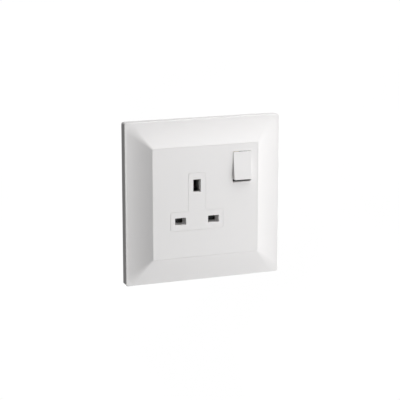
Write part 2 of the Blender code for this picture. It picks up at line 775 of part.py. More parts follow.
def rocker_and_plunger():
    place = (ROCKER_X, PIVOT_Y, ROCKER_Z)
    empty = pivot("rocker_pivot", place, -ROCKER_THROW / 2)
    half = ROCKER_WIDTH / 2
    shell = bar(rocker_profile(), -half, half)
    rocker = add("rocker", shell, WHITE, empty)
    edge = rocker.modifiers.new("edges", "BEVEL")
    edge.width = ROCKER_EDGE
    edge.segments = 2
    edge.limit_method = "ANGLE"
    edge.angle_limit = math.radians(60)

    inner = half - ROCKER_WALL
    high = ROCKER_HEIGHT / 2 - ROCKER_WALL
    low = high - ROCKER_TAPER
    front = ROCKER_DISH + ROCKER_WALL - ROCKER_REACH
    behind = ROCKER_BACK + SEAT_GAP
    cavity = [(front, high), (front, -high), (behind, -low), (behind, low)]
    cut(rocker, add("rocker_cavity", bar(cavity, -inner, inner), parent=empty))
    guide = rod(PLUNGER_RADIUS + RUNNING_GAP + GUIDE_WALL, (0, front - ROCKER_WALL / 2, 0), (0, GUIDE_END, 0))
    join(rocker, add("plunger_guide", guide, parent=empty))
    web = block(
        -inner - ROCKER_WALL / 2, inner + ROCKER_WALL / 2, front, ROCKER_BACK, -ROCKER_WEB / 2, ROCKER_WEB / 2
    )
    join(rocker, add("rocker_web", web, parent=empty))
    bore = rod(PLUNGER_RADIUS + RUNNING_GAP, (0, -GUIDE_BLIND, 0), (0, GUIDE_END + SEAT_GAP, 0))
    cut(rocker, add("plunger_bore", bore, parent=empty))
    for side in (-1, 1):
        start = (side * (half - ROCKER_WALL / 2), 0, 0)
        end = (side * (OPENING_WIDTH / 2 + TRUNNION_LENGTH), 0, 0)
        join(rocker, add("trunnion", rod(TRUNNION_RADIUS, start, end), parent=empty))

    nose = [
        (PLUNGER_TIP_RADIUS * math.sin(a), PLUNGER_REACH - PLUNGER_TIP_RADIUS * (1 - math.cos(a)))
        for a in (math.radians(15 * i) for i in range(7))
    ]
    shoulder = PLUNGER_REACH - PLUNGER_TIP_RADIUS - (PLUNGER_RADIUS - PLUNGER_TIP_RADIUS)
    profile = nose + [(PLUNGER_RADIUS, shoulder), (PLUNGER_RADIUS, PLUNGER_BACK), (0, PLUNGER_BACK)]
    turned("plunger", profile, (0, 0, 0), GREY, empty, steps=16, front=False)
    start = -GUIDE_BLIND + SEAT_GAP
    length = PLUNGER_BACK - SEAT_GAP - start
    coil(
        "plunger_spring",
        (0, start, 0),
        PLUNGER_RADIUS - PLUNGER_SPRING_WIRE,
        PLUNGER_SPRING_WIRE,
        PLUNGER_SPRING_TURNS,
        length,
        STEEL,
        math.radians(-90),
        empty,
    )


# Tilting contact arm


def contact_tip(name, place, front, parent=None):
    """A riveted silver contact with a crowned face and a shank."""
    crown = [
        (TIP_RADIUS * i / 4, TIP_THICK - TIP_CROWN * (i / 4) ** 2) for i in range(5)
    ]
    profile = crown + [
        (TIP_RADIUS, SEAT_GAP / 2),
        (TIP_SHANK_RADIUS, SEAT_GAP / 2),
        (TIP_SHANK_RADIUS, -ARM_THICK),
        (0, -ARM_THICK),
    ]
    return turned(name, profile, place, SILVER, parent, steps=16, front=front)


def contact_arm():
    empty = pivot("arm_pivot", (ROCKER_X, ARM_PIVOT_Y, ROCKER_Z), ARM_THROW / 2)
    back = -ARM_STANDOFF
    front = back - ARM_THICK
    outline = rounded(rectangle(-ARM_WIDTH / 2, -ARM_LOW, ARM_WIDTH / 2, ARM_HIGH), ARM_WIDTH / 5)
    arm = add("switch_contact_arm", slab(outline, front, back), BRASS, empty)
    half = ARM_WIDTH / 2 - SEAT_GAP
    rib = rod(ARM_RIB_RADIUS, (-half, 0, 0), (half, 0, 0), 12)
    root = block(-half, half, front / 2 + back / 2, 0, -ARM_RIB_RADIUS * 0.9, ARM_RIB_RADIUS * 0.9)
    join(arm, add("arm_rib_root", root, parent=empty), add("arm_rib", rib, parent=empty))
    start = (0, front - SEAT_GAP, TIP_PLACE)
    end = (0, back + SEAT_GAP, TIP_PLACE)
    hole = rod(TIP_SHANK_RADIUS + RUNNING_GAP, start, end)
    cut(arm, add("arm_tip_hole", hole, parent=empty))
    contact_tip("moving_contact_tip", (0, back, TIP_PLACE), False, empty)


def closed_tip_reach():
    """How far behind the arm's pivot the moving tip's crown reaches when the switch is on."""
    turn = ARM_THROW / 2
    crown = TIP_THICK - ARM_STANDOFF
    y = crown * math.cos(turn) + TIP_PLACE * math.sin(turn)
    z = TIP_PLACE * math.cos(turn) - crown * math.sin(turn)
    return y, z


# Contacts


def live_clip(name, x):
    """Two leaves that grip a pin from above and below, joined at the back."""
    grip = PIN_THICK / 2 - SEAT_GAP
    spread = PIN_THICK / 2 + LEAF
    length = STRAP_FRONT - LIVE_LEAF_FRONT
    half = [
        (LIVE_LEAF_FRONT, spread + LEAF),
        (LIVE_LEAF_FRONT + length * 0.3, grip),
        (STRAP_FRONT - length * 0.25, spread),
        (STRAP_FRONT, spread),
    ]
    lower = [(y, -z) for y, z in half]
    line = [(y, LIVE_ROW_Z + z) for y, z in half + lower[::-1]]
    outline = folded_strip(line[::-1], LEAF)
    width = LIVE_PIN_WIDTH
    return add(name, bar(outline, x - width / 2, x + width / 2), BRASS)


def strap(outline):
    return add("strap", slab(outline, STRAP_FRONT, STRAP_BACK))


def terminal_strap_top():
    return TERMINAL_Z + TERMINAL_HEIGHT / 4


def neutral_contact():
    contact = live_clip("neutral_contact", NEUTRAL_X)
    left = NEUTRAL_TERMINAL_X - STRIP_WIDTH / 2
    right = NEUTRAL_TERMINAL_X + STRIP_WIDTH / 2
    foot_right = NEUTRAL_X + LIVE_PIN_WIDTH / 2
    low = LIVE_ROW_Z - PIN_THICK / 2
    turn = LIVE_ROW_Z + PIN_THICK / 2
    points = [(left, low), (foot_right, low), (foot_right, turn), (right, turn)]
    points += [(right, terminal_strap_top()), (left, terminal_strap_top())]
    join(contact, strap(points))
    return contact


def line_contact():
    """Runs from the line clip, under the switch, to the cradle that carries the tilting arm."""
    contact = live_clip("line_contact", LINE_X)
    low = LIVE_ROW_Z - PIN_THICK / 2
    turn = LIVE_ROW_Z + PIN_THICK / 2
    left = LINE_X - LIVE_PIN_WIDTH / 2
    inner, outer = LINE_RISER_X - STRIP_WIDTH / 2, LINE_RISER_X + STRIP_WIDTH / 2
    post_half = ARM_WIDTH / 2 - SEAT_GAP
    post_low, post_high = ROCKER_Z - CRADLE_HALF, ROCKER_Z + CRADLE_HALF
    points = [(left, low), (outer, low), (outer, post_low), (ROCKER_X + post_half, post_low)]
    points += [(ROCKER_X + post_half, post_high), (inner, post_high), (inner, turn), (left, turn)]
    join(contact, strap(points))
    groove = ARM_RIB_RADIUS + SEAT_GAP
    top = ARM_PIVOT_Y + SEAT_GAP
    left_post, right_post = ROCKER_X - post_half, ROCKER_X + post_half
    join(contact, add("cradle", block(left_post, right_post, top, STRAP_BACK, post_low, post_high)))
    start = (left_post - SEAT_GAP, ARM_PIVOT_Y, ROCKER_Z)
    end = (right_post + SEAT_GAP, ARM_PIVOT_Y, ROCKER_Z)
    cut(contact, add("cradle_groove", rod(groove, start, end, 16)))
    return contact


def earth_contact():
    """Two upright leaves beside the earth pin, which reach forward of the shutter."""
    grip = (PIN_THICK - LEAF) / 2
    spread = PIN_THICK / 2 + LEAF / 2
    half = [
        (EARTH_MOUTH_HALF, EARTH_LEAF_FRONT),
        (grip, EARTH_LEAF_FRONT * 0.3),
        (spread, LIVE_LEAF_FRONT + 2 * PIN_THICK / 4),
        (spread, STRAP_FRONT),
    ]
    lower = [(-x, y) for x, y in half]
    line = [(EARTH_X + x, y) for x, y in half + lower[::-1]]
    outline = folded_strip(line, LEAF)
    low, high = EARTH_Z - EARTH_LEAF_HEIGHT / 2, EARTH_Z + EARTH_LEAF_HEIGHT / 2
    contact = add("earth_contact", column(outline, low, high), BRASS)
    half_strip = STRIP_WIDTH / 2
    points = rectangle(EARTH_X - half_strip, low, EARTH_X + half_strip, terminal_strap_top())
    join(contact, strap(points))
    return contact


def fixed_contact_place():
    reach, height = closed_tip_reach()
    crown_y = ARM_PIVOT_Y + reach + SEAT_GAP
    return crown_y + TIP_THICK, ROCKER_Z + height


def switch_fixed_contact():
    """A strap from the line terminal, folded forward and down to carry the fixed tip."""
    carrier_front, tip_z = fixed_contact_place()
    half = ARM_WIDTH / 2
    high = tip_z + TIP_RADIUS + STRIP
    low = tip_z - TIP_RADIUS
    line = [(carrier_front, low), (carrier_front, high), (STRAP_BACK, high), (STRAP_BACK, low)]
    outline = folded_strip(line, STRIP)
    contact = add("switch_fixed_contact", bar(outline, ROCKER_X - half, ROCKER_X + half), BRASS)
    run_low = high - STRIP - STRIP_WIDTH
    drop_low = TERMINAL_Z - TERMINAL_HEIGHT / 4
    tab = STRIP_WIDTH / 2
    points = [(LINE_TERMINAL_X - tab, drop_low), (LINE_TERMINAL_X + tab, drop_low)]
    points += [(LINE_TERMINAL_X + tab, run_low), (ROCKER_X, run_low), (ROCKER_X, high - STRIP / 2)]
    points += [(LINE_TERMINAL_X - tab, high - STRIP / 2)]
    join(contact, strap(points))
    start = (ROCKER_X, carrier_front - SEAT_GAP, tip_z)
    end = (ROCKER_X, carrier_front + STRIP + SEAT_GAP, tip_z)
    cut(contact, add("tip_hole", rod(TIP_SHANK_RADIUS + RUNNING_GAP, start, end, 16)))
    contact_tip("fixed_contact_tip", (ROCKER_X, carrier_front, tip_z), True)
    return contact


# Terminals and screws


def cross_recess(screw, place, radius, front):
    """A cross cut into a head whose outer face is at place; front tells which way it looks."""
    x, y, z = place
    inward = RECESS_DEPTH if front else -RECESS_DEPTH
    outward = -SEAT_GAP if front else SEAT_GAP
    near, far = sorted((y + outward, y + inward))
    reach, half = radius * RECESS_REACH, RECESS_WIDTH / 2
    across = block(x - reach, x + reach, near, far, z - half, z + half)
    upright = block(x - half, x + half, near, far, z - reach, z + reach)
    cut(screw, add("recess_across", across), add("recess_upright", upright))


def screw(name, place, head_radius, head_height, radius, length, finish, front):
    """A pan-head screw with the underside of its head at place."""
    dome = head_height * 0.35
    profile = [
        (0, head_height),
        (head_radius * 0.55, head_height),
        (head_radius * 0.85, head_height - dome * 0.4),
        (head_radius, head_height - dome),
        (head_radius, 0),
        (radius, 0),
        (radius, -length + radius * 0.4),
        (radius * 0.6, -length),
        (0, -length),
    ]
    made = turned(name, profile, place, finish, front=front)
    x, y, z = place
    outer = y - head_height if front else y + head_height
    cross_recess(made, (x, outer, z), head_radius, front)
    return made


def terminal(name, x):
    width, high = TERMINAL_WIDTH / 2, TERMINAL_HEIGHT / 2
    low, top = TERMINAL_Z - high, TERMINAL_Z + high
    points = rectangle(x - width, TERMINAL_FRONT, x + width, TERMINAL_BACK)
    outline = rounded(points, TERMINAL_CORNER)
    made = add(name + "_terminal", column(outline, low, top), BRASS)
    wire = rod(WIRE_RADIUS, (x, WIRE_Y, low - SEAT_GAP), (x, WIRE_Y, top + SEAT_GAP))
    place = (x, TERMINAL_BACK + SEAT_GAP, TERMINAL_Z)
    tapped = rod(TERMINAL_SCREW_RADIUS + RUNNING_GAP, (x, WIRE_Y, TERMINAL_Z), place)
    cut(made, add("wire_bore", wire), add("tapped_bore", tapped))
    length = TERMINAL_BACK + SEAT_GAP - WIRE_Y - WIRE_RADIUS / 2
    head = REAR_WALL - SEAT_GAP
    screw(
        name + "_terminal_screw",
        place,
        TERMINAL_HEAD_RADIUS,
        head,
        TERMINAL_SCREW_RADIUS,
        length,
        STEEL,
        front=False,
    )


def fixing_screws():
    for name, side in (("left", -1), ("right", 1)):
        place = (side * FIXING_PITCH / 2, -SHEET - SEAT_GAP, 0)
        screw(
            "fixing_screw_" + name,
            place,
            FIXING_HEAD_RADIUS,
            FIXING_HEAD_HEIGHT,
            FIXING_RADIUS,
            FIXING_LENGTH,
            STEEL,
            front=True,
        )


def assembly_screws():
    seat = BASE_FRONT + BASE_FLANGE + SEAT_GAP
    for name, (x, z) in assembly_places().items():
        screw(
            "assembly_screw_" + name,
            (x, seat, z),
            ASSEMBLY_HEAD_RADIUS,
            ASSEMBLY_HEAD_HEIGHT,
            ASSEMBLY_RADIUS,
            seat - HOUSING_BACK + ASSEMBLY_GRIP,
            STEEL,
            front=False,
        )


# Support plate


def support_plate():
    half_x = SUPPORT_WIDTH / 2
    half_z = FLANGE_PLACE + SHEET
    points = rectangle(-half_x, -half_z, half_x, half_z)
    plate = add("support_plate", slab(rounded(points, SUPPORT_CORNER), -SHEET, 0), STEEL)
    half = FLANGE_LENGTH / 2
    for side in (-1, 1):
        near, far = side * FLANGE_PLACE, side * half_z
        edge = block(-half, half, -FLANGE_DEPTH - SHEET, -SHEET / 2, min(near, far), max(near, far))
        join(plate, add("turned_edge", edge))
    tab_half = STRIP_WIDTH / 2
    tab_top = HOUSING_HALF_Z
    tab = block(EARTH_X - tab_half, EARTH_X + tab_half, -SHEET, STRAP_BACK, tab_top - SHEET, tab_top + SHEET)
    window = housing_outline(0, HOUSING_CORNER)
    cut(plate, add("plate_window", slab(window, -SHEET - SEAT_GAP, SEAT_GAP)))
    fold = block(
        EARTH_X - tab_half - SHEET,
        EARTH_X + tab_half + SHEET,
        SEAT_GAP / 3,
        STRAP_BACK + SEAT_GAP,
        tab_top,
        tab_top + 2 * SHEET,
    )
    join(plate, add("earth_tab", tab))
    cut(plate, add("earth_tab_trim", fold))
    room = SEAT_GAP
    for x, side in clip_places():
        near, far = side * (FLANGE_PLACE - room), side * (half_z + room)
        slot_half = CLIP_WIDTH / 2 + room
        back = -CLIP_END + room
        front = back - CLIP_BARB_HEIGHT - 2 * room
        slot = block(x - slot_half, x + slot_half, front, back, min(near, far), max(near, far))
        cut(plate, add("clip_slot", slot))
    hole = FIXING_RADIUS + RUNNING_GAP
    for side, play in ((-1, FIXING_SLOT), (1, RUNNING_GAP)):
        outline = centred(side * FIXING_PITCH / 2, 0, 2 * hole + play, 2 * hole)
        cut(plate, add("fixing_slot", slab(rounded(outline, hole * 0.99), -SHEET - room, room)))
    for x, z in assembly_places().values():
        start, end = (x, -SHEET - room, z), (x, room, z)
        cut(plate, add("assembly_hole", rod(ASSEMBLY_RADIUS + RUNNING_GAP, start, end)))
    return plate


# Rear base and barrier


def lug_notch(side):
    """Room beside a fixing screw for the wall box's lug."""
    near = side * (FIXING_PITCH / 2 - LUG_CLEARANCE)
    far = side * (FIXING_PITCH / 2 + 2 * LUG_CLEARANCE)
    half = 1.5 * LUG_CLEARANCE
    return block(min(near, far), max(near, far), -SHEET, BASE_DEPTH + SHEET, -half, half)


def base_outline():
    """A wall's thickness outside the outermost pockets, with the mechanism's bump for the switch."""
    clip_reach = PIN_THICK / 2 + 2.5 * LEAF + POCKET_GAP
    left = NEUTRAL_TERMINAL_X - TERMINAL_WIDTH / 2 - SEAT_GAP - BASE_WALL
    right = LINE_RISER_X + STRIP_WIDTH / 2 + POCKET_GAP + BASE_WALL
    low = LIVE_ROW_Z - clip_reach - BASE_WALL
    high = TERMINAL_Z + TERMINAL_HEIGHT / 2 + SEAT_GAP + BASE_WALL
    return bumped(left, right, low, high, 0, BASE_CORNER)


def flange_outline():
    left = HOUSING_LEFT - EAR_STAND - FLANGE_MARGIN
    right = HOUSING_RIGHT + EAR_STAND + FLANGE_MARGIN
    top = HOUSING_HALF_Z + EAR_STAND + FLANGE_MARGIN
    return rounded(rectangle(left, -HOUSING_HALF_Z - EAR_STAND, right, top), 2 * BASE_CORNER)


def rear_base():
    base = add("rear_base", slab(flange_outline(), BASE_FRONT, BASE_FRONT + BASE_FLANGE), GREY)
    body = slab(base_outline(), BASE_FRONT + BASE_FLANGE / 2, BASE_DEPTH)
    join(base, add("base_body", body))
    cut(base, add("notch_left", lug_notch(-1)), add("notch_right", lug_notch(1)))
    for pocket in base_pockets():
        cut(base, pocket)
    for x, z in assembly_places().values():
        start = (x, BASE_FRONT - SEAT_GAP, z)
        middle = (x, BASE_FRONT + BASE_FLANGE, z)
        end = (x, BASE_DEPTH + SEAT_GAP, z)
        cut(base, add("base_screw_hole", rod(ASSEMBLY_RADIUS + RUNNING_GAP, start, end)))
        cut(base, add("base_head_clearance", rod(ASSEMBLY_HEAD_RADIUS + SEAT_GAP, middle, end)))
    for x in (NEUTRAL_TERMINAL_X, EARTH_X, LINE_TERMINAL_X):
        start = (x, TERMINAL_BACK, TERMINAL_Z)
        end = (x, BASE_DEPTH + SHEET, TERMINAL_Z)
        cut(base, add("screw_access", rod(TERMINAL_HEAD_RADIUS + SEAT_GAP, start, end)))
        start = (x, WIRE_Y, TERMINAL_Z)
        end = (x, WIRE_Y, BUMP_HIGH + SHEET)
        cut(base, add("wire_entry", rod(WIRE_RADIUS + SEAT_GAP, start, end)))
    return base


def base_pockets():
    """Blind pockets, open to the front: for the contacts and terminals, and three that only core it out."""
    gap = POCKET_GAP
    floor = STRAP_BACK + SEAT_GAP
    front = BASE_FRONT - SEAT_GAP
    clip_half = LIVE_PIN_WIDTH / 2 + gap
    clip_high = PIN_THICK / 2 + 2.5 * LEAF + gap
    strip_half = STRIP_WIDTH / 2 + gap
    made = []

    def pocket(left, low, right, high, back=floor):
        outline = rounded(rectangle(left, low, right, high), gap)
        made.append(add("pocket", slab(outline, front, back)))

    low, high = LIVE_ROW_Z - clip_high, LIVE_ROW_Z + clip_high
    pocket(NEUTRAL_X - clip_half, low, NEUTRAL_X + clip_half, high)
    pocket(LINE_X - clip_half, low, LINE_X + clip_half, high)
    strap_low = LIVE_ROW_Z - PIN_THICK / 2 - gap
    riser_left, riser_right = LINE_RISER_X - strip_half, LINE_RISER_X + strip_half
    pocket(NEUTRAL_TERMINAL_X - strip_half, strap_low, NEUTRAL_TERMINAL_X + strip_half, TERMINAL_Z)
    pocket(LINE_X, strap_low, riser_right, LIVE_ROW_Z + PIN_THICK / 2 + gap)
    pocket(riser_left, strap_low, riser_right, ROCKER_Z + CRADLE_HALF + gap)
    earth_half = PIN_THICK / 2 + 2 * LEAF + gap
    pocket(EARTH_X - earth_half, ramp_sweep_low(), EARTH_X + earth_half, TERMINAL_Z)
    half, tall = TERMINAL_WIDTH / 2 + SEAT_GAP, TERMINAL_HEIGHT / 2 + SEAT_GAP
    for x in (NEUTRAL_TERMINAL_X, EARTH_X, LINE_TERMINAL_X):
        pocket(x - half, TERMINAL_Z - tall, x + half, TERMINAL_Z + tall, TERMINAL_BACK + SEAT_GAP)
    arm_half = ARM_WIDTH / 2 + 2 * gap
    switch_low = ROCKER_Z - ARM_LOW - 3 * gap
    _, tip_z = fixed_contact_place()
    switch_high = tip_z + TIP_RADIUS + STRIP + gap
    pocket(ROCKER_X - arm_half, switch_low, ROCKER_X + arm_half, switch_high)
    run_low = tip_z + TIP_RADIUS - STRIP_WIDTH - gap
    pocket(LINE_TERMINAL_X - strip_half, run_low, ROCKER_X, switch_high)

    wall, deep = BASE_WALL, BASE_DEPTH - REAR_WALL
    core_low, core_high = high + wall, TERMINAL_Z - tall - wall
    left, right = NEUTRAL_TERMINAL_X + strip_half + wall, EARTH_X - earth_half - wall
    pocket(left, core_low, right, core_high, deep)
    pocket(EARTH_X + earth_half + wall, core_low, riser_left - wall, core_high, deep)
    pocket(NEUTRAL_X + clip_half + wall, low, LINE_X - clip_half - wall, high, deep)
    return made


def inner_barrier():
    """A thin insulating sheet over the contacts, inside the support plate's window."""
    back = BASE_FRONT - SEAT_GAP
    left, right = HOUSING_LEFT + SEAT_GAP, BUMP_LEFT - SEAT_GAP
    top = HOUSING_HALF_Z - SHEET - SEAT_GAP
    outline = rounded(rectangle(left, -HOUSING_HALF_Z + SEAT_GAP, right, top), HOUSING_CORNER)
    sheet = add("inner_barrier", slab(outline, back - BARRIER_THICK, back), INNER_WHITE)
    front, behind = back - BARRIER_THICK - SEAT_GAP, back + SEAT_GAP
    for kind in ("neutral", "line"):
        cut(sheet, add(kind + "_window", slab(slot_outline(kind, SEAT_GAP), front, behind)))
    half = PIN_THICK / 2 + 2 * LEAF + SEAT_GAP
    high = EARTH_Z + EARTH_SLOT[1] / 2 + SEAT_GAP
    window = rectangle(EARTH_X - half, ramp_sweep_low(), EARTH_X + half, high)
    cut(sheet, add("earth_window", slab(window, front, behind)))
    return sheet


# Shutter


def ramp_ends():
    """The ramp's front lower end and back upper end, as (y, z): a pin's lower edge slides along it."""
    low = EARTH_Z - PIN_THICK - SEAT_GAP
    return (RAMP_FRONT, low), (RAMP_FRONT + SHUTTER_TRAVEL, low + SHUTTER_TRAVEL)


def ramp_underside():
    """Where the ramp's underside meets the back of the shutter."""
    _, (back, high) = ramp_ends()
    return high - SHUTTER_THICK - (back - SHUTTER_BACK)


def ramp_sweep_low():
    """The lowest height that the ramp reaches behind the shutter, with room to spare."""
    return ramp_underside() - SHUTTER_TRAVEL - EASY_GAP


def shutter():
    """A slide that closes the two live apertures until an earth pin pushes its ramp down."""
    left, right = EARTH_X - SHUTTER_HALF, EARTH_X + SHUTTER_HALF
    outline = rounded(rectangle(left, SHUTTER_BOTTOM, right, SHUTTER_TOP), SLOT_CORNER)
    slide = add("shutter", slab(outline, SHUTTER_FRONT, SHUTTER_BACK), BLACK)
    (front, low), (back, high) = ramp_ends()
    root = SHUTTER_TOP - SHUTTER_OVERLAP
    tongue = [
        (front, low),
        (back, high),
        (back, high - SHUTTER_THICK),
        (SHUTTER_BACK, ramp_underside()),
        (SHUTTER_BACK, root),
        (SHUTTER_FRONT, root),
        (SHUTTER_FRONT, low - (SHUTTER_FRONT - front)),
    ]
    join(slide, add("tongue", bar(tongue, EARTH_X - TONGUE_HALF, EARTH_X + TONGUE_HALF)))
    spread = SPRING_RADIUS + SPRING_WIRE
    seat = block(
        EARTH_X - spread,
        EARTH_X + spread,
        spring_y() - spread,
        SHUTTER_BACK,
        SHUTTER_BOTTOM - SPRING_SEAT,
        SHUTTER_BOTTOM + SPRING_SEAT / 2,
    )
    join(slide, add("spring_seat", seat))
    return slide


def spring_y():
    return SHUTTER_BACK - SPRING_RADIUS - SPRING_WIRE / 2


def shutter_spring():
    low = -HOUSING_HALF_Z + HOUSING_WALL + SEAT_GAP
    high = SHUTTER_BOTTOM - SPRING_SEAT - SEAT_GAP
    coil(
        "shutter_spring",
        (EARTH_X, spring_y(), low),
        SPRING_RADIUS,
        SPRING_WIRE,
        SPRING_TURNS,
        high - low,
        STEEL,
    )


def build():
    clear_scene()
    surround_frame()
    centre_cover()
    front_housing()
    rocker_and_plunger()
    contact_arm()
    support_plate()
    inner_barrier()
    rear_base()
    shutter()
    shutter_spring()
    neutral_contact()
    line_contact()
    earth_contact()
    switch_fixed_contact()
    for name, x in (("neutral", NEUTRAL_TERMINAL_X), ("earth", EARTH_X), ("line", LINE_TERMINAL_X)):
        terminal(name, x)
    fixing_screws()
    assembly_screws()


build()
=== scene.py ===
"""Looks of a switched socket: finishes, rounded mouldings, threaded screws, soft light and a matched camera.

Metres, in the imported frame: +X right, +Z up, the wall in the plane Y = 0 and the face towards -Y.
"""

import json
import math

import bmesh
import bpy
from mathutils import Matrix, Vector

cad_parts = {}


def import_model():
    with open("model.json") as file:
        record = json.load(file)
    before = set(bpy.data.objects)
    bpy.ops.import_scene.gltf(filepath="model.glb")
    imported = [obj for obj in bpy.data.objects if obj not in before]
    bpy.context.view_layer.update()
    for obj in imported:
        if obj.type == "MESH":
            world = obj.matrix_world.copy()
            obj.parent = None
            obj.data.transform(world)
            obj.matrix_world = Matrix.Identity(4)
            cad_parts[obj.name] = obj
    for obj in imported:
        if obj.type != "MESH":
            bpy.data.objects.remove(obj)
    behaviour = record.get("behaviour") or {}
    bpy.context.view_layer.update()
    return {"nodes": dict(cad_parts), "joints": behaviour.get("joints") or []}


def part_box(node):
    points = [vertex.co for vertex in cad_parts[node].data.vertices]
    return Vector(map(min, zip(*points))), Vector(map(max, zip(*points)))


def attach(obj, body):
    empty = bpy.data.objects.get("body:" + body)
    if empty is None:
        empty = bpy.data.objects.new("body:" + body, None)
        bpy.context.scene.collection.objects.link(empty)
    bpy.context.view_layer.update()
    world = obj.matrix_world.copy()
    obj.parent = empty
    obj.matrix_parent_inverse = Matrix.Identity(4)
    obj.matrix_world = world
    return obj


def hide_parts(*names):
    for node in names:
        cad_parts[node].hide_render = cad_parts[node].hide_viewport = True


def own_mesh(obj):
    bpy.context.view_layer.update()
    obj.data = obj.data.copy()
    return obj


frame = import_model()

MM = 0.001

# Shape of the surround, as the photograph shows it
PLATE_CORNER = 1.6 * MM
RIM_DEPTH = 6.0 * MM
RIM_WIDTH = 1.2 * MM
RIM_EDGE = 0.45 * MM
RIM_BEND = 0.6 * MM  # depth of the bend inside the rim
CREST_RISE = 4.5 * MM
CREST_EDGE = 0.08 * MM
CREST_TILT = math.radians(20)
CREST_START = 1.6  # where the slope ends, in widths of the crest's tilted edge
SCOOP_RATIO = 3.6
MITRE_SOFTNESS = 0.28
FRAME_WALL = 2.0 * MM
FRAME_LIP = 1.6 * MM
FRAME_LIP_DEPTH = 5.0 * MM
BACK_EDGE = 0.2 * MM
SLOPE_STEPS = 32
CLIP_PITCH = 20 * MM
CLIP_WIDTH = 6.0 * MM
CLIP_THICK = 1.5 * MM
CLIP_BARB = 0.9 * MM
CLIP_BARB_HEIGHT = 1.4 * MM
CLIP_END = 1.4 * MM
CLIP_EDGE = 0.12 * MM
FLANGE_PLACE = 39.3 * MM
SHEET = 1.0 * MM
SEAT_GAP = 0.3 * MM
COVER_GAP = 0.04 * MM

# Centre cover
COVER_SIDE = 70.8 * MM
COVER_CORNER = 0.8 * MM
COVER_EDGE = 0.1 * MM
COVER_WALL = 2.0 * MM
SKIRT_WALL = 1.6 * MM
SKIRT_DEPTH = 6.0 * MM
SKIRT_EDGE = 0.2 * MM
SKIRT_FILLET = 0.3 * MM
PAD_RISE = 0.04 * MM
PAD_EDGE = 0.02 * MM
PAD_LINE_WIDTH = 0.14 * MM
PAD_LINE_DEPTH = 0.2 * MM
PAD_CORNER = 1.2 * MM
PAD_STEM_WIDTH = 11.6 * MM
PAD_STEM_ABOVE = 8.3 * MM
PAD_BASE_WIDTH = 35.4 * MM
PAD_BASE_BELOW = 6.1 * MM
PAD_BASE_ABOVE = 6.1 * MM
BORDER_WIDTH = 1.3 * MM
BORDER_RISE = 0.05 * MM
BORDER_EDGE = 0.025 * MM
OPENING_CORNER = 0.8 * MM
OPENING_EDGE = 0.15 * MM
SLOT_CORNER = 0.35 * MM
SLOT_EDGE = 0.18 * MM
SLEEVE_WALL = 1.3 * MM
SLEEVE_EDGE = 0.12 * MM
SLEEVE_CHAMFER = 0.15 * MM
LIVE_SLEEVE_DEPTH = 7.4 * MM
EARTH_SLEEVE_DEPTH = 3.4 * MM
HOUSING_HALF_Z = 27.0 * MM
HOUSING_BACK = -1.3 * MM
LINE_TERMINAL_X = 10.2 * MM
BUMP_MARGIN_X = 2.6 * MM  # from the rocker's opening to the housing's bump round it

# Pins
PIN_PITCH = 22.2 * MM
PIN_GROUP_X = -6.0 * MM
LIVE_ROW_Z = -11.9 * MM
LIVE_SLOT = (7.3 * MM, 4.5 * MM)
EARTH_SLOT = (5.0 * MM, 8.1 * MM)

# Rocker
ROCKER_WIDTH = 12.1 * MM
ROCKER_HEIGHT = 18.0 * MM
ROCKER_REACH = 6.2 * MM
ROCKER_DISH = 0.25 * MM
ROCKER_WALL = 1.3 * MM
ROCKER_TAPER = 1.1 * MM
ROCKER_BACK = 0.4 * MM
ROCKER_EDGE = 0.2 * MM
ROCKER_CORNER = 0.7 * MM
ROCKER_RINGS = (0.3, 0.65, 1.0)  # where its walls are divided, in shares of their depth
ROCKER_TILT = math.radians(-7.5)
OPENING_SIDE_GAP = 0.15 * MM
OPENING_HEIGHT = 19.75 * MM
OPENING_RISE = 0.04 * MM
TRUNNION_RADIUS = 1.5 * MM
TRUNNION_LENGTH = 1.6 * MM
TRUNNION_EDGE = 0.25 * MM
GUIDE_RADIUS = 2.75 * MM
GUIDE_END = 3.0 * MM
GUIDE_EDGE = 0.15 * MM
BORE_RADIUS = 1.65 * MM
GUIDE_BLIND = 4.6 * MM
ROCKER_WEB = 1.2 * MM
WEB_EDGE = 0.1 * MM
WEB_ROOT = 0.2 * MM  # how far a web stands in the wall that it grows from
TUBE_ROOT = 0.3 * MM

# Screws: radius and height of the head, radius and pitch of the thread
FIXING_SCREW = (3.2 * MM, 1.8 * MM, 1.7 * MM, 0.6 * MM)
ASSEMBLY_SCREW = (2.4 * MM, 1.6 * MM, 1.25 * MM, 0.5 * MM)
TERMINAL_SCREW = (2.5 * MM, 1.3 * MM, 1.6 * MM, 0.6 * MM)
HEAD_FLAT = 0.68  # radius of the flat top, in radii of the head
HEAD_DOME = 0.35  # drop from the flat top to the rim, in heights of the head
HEAD_EDGE = 0.12 * MM
RECESS_REACH = 0.6  # in radii of the head
RECESS_HALF_WIDTH = 0.13
RECESS_CORNER = 0.08 * MM
RECESS_PROFILE = ((0.0, 0.0), (-0.05 * MM, 0.2 * MM), (-0.14 * MM, 0.95 * MM))  # growth and depth
THREAD_DEPTH = 0.6  # in pitches
THREAD_FLANK = 1.25  # over 1, the crests are flat
THREAD_ROWS = 6  # to each pitch
POINT_DEPTH = 0.35  # taper of the screw's end, in radii
POINT_LENGTH = 0.8  # in pitches

# Springs
PLUNGER_SPRING = {"radius": 1.2 * MM, "wire": 0.3 * MM, "turns": 5}
PLUNGER_SPRING_LENGTH = 4.5 * MM
SHUTTER_SPRING = {"radius": 1.2 * MM, "wire": 0.35 * MM, "turns": 5}

# Mesh fineness
MARGIN = 0.12 * MM  # flat strip beside a rounded edge, which keeps the flat face's shading true
CORNER_STEPS = 10
EDGE_STEPS = 5
ROUND_STEPS = 40
SCREW_STEPS = 32
BEVEL_STEPS = 2
SHARP = math.radians(38)
SMALLEST_RADIUS = 0.01 * MM
WELD = 0.0005 * MM
LEVEL = 1e-6  # two heights that differ by less are the same
TINY = 1e-7

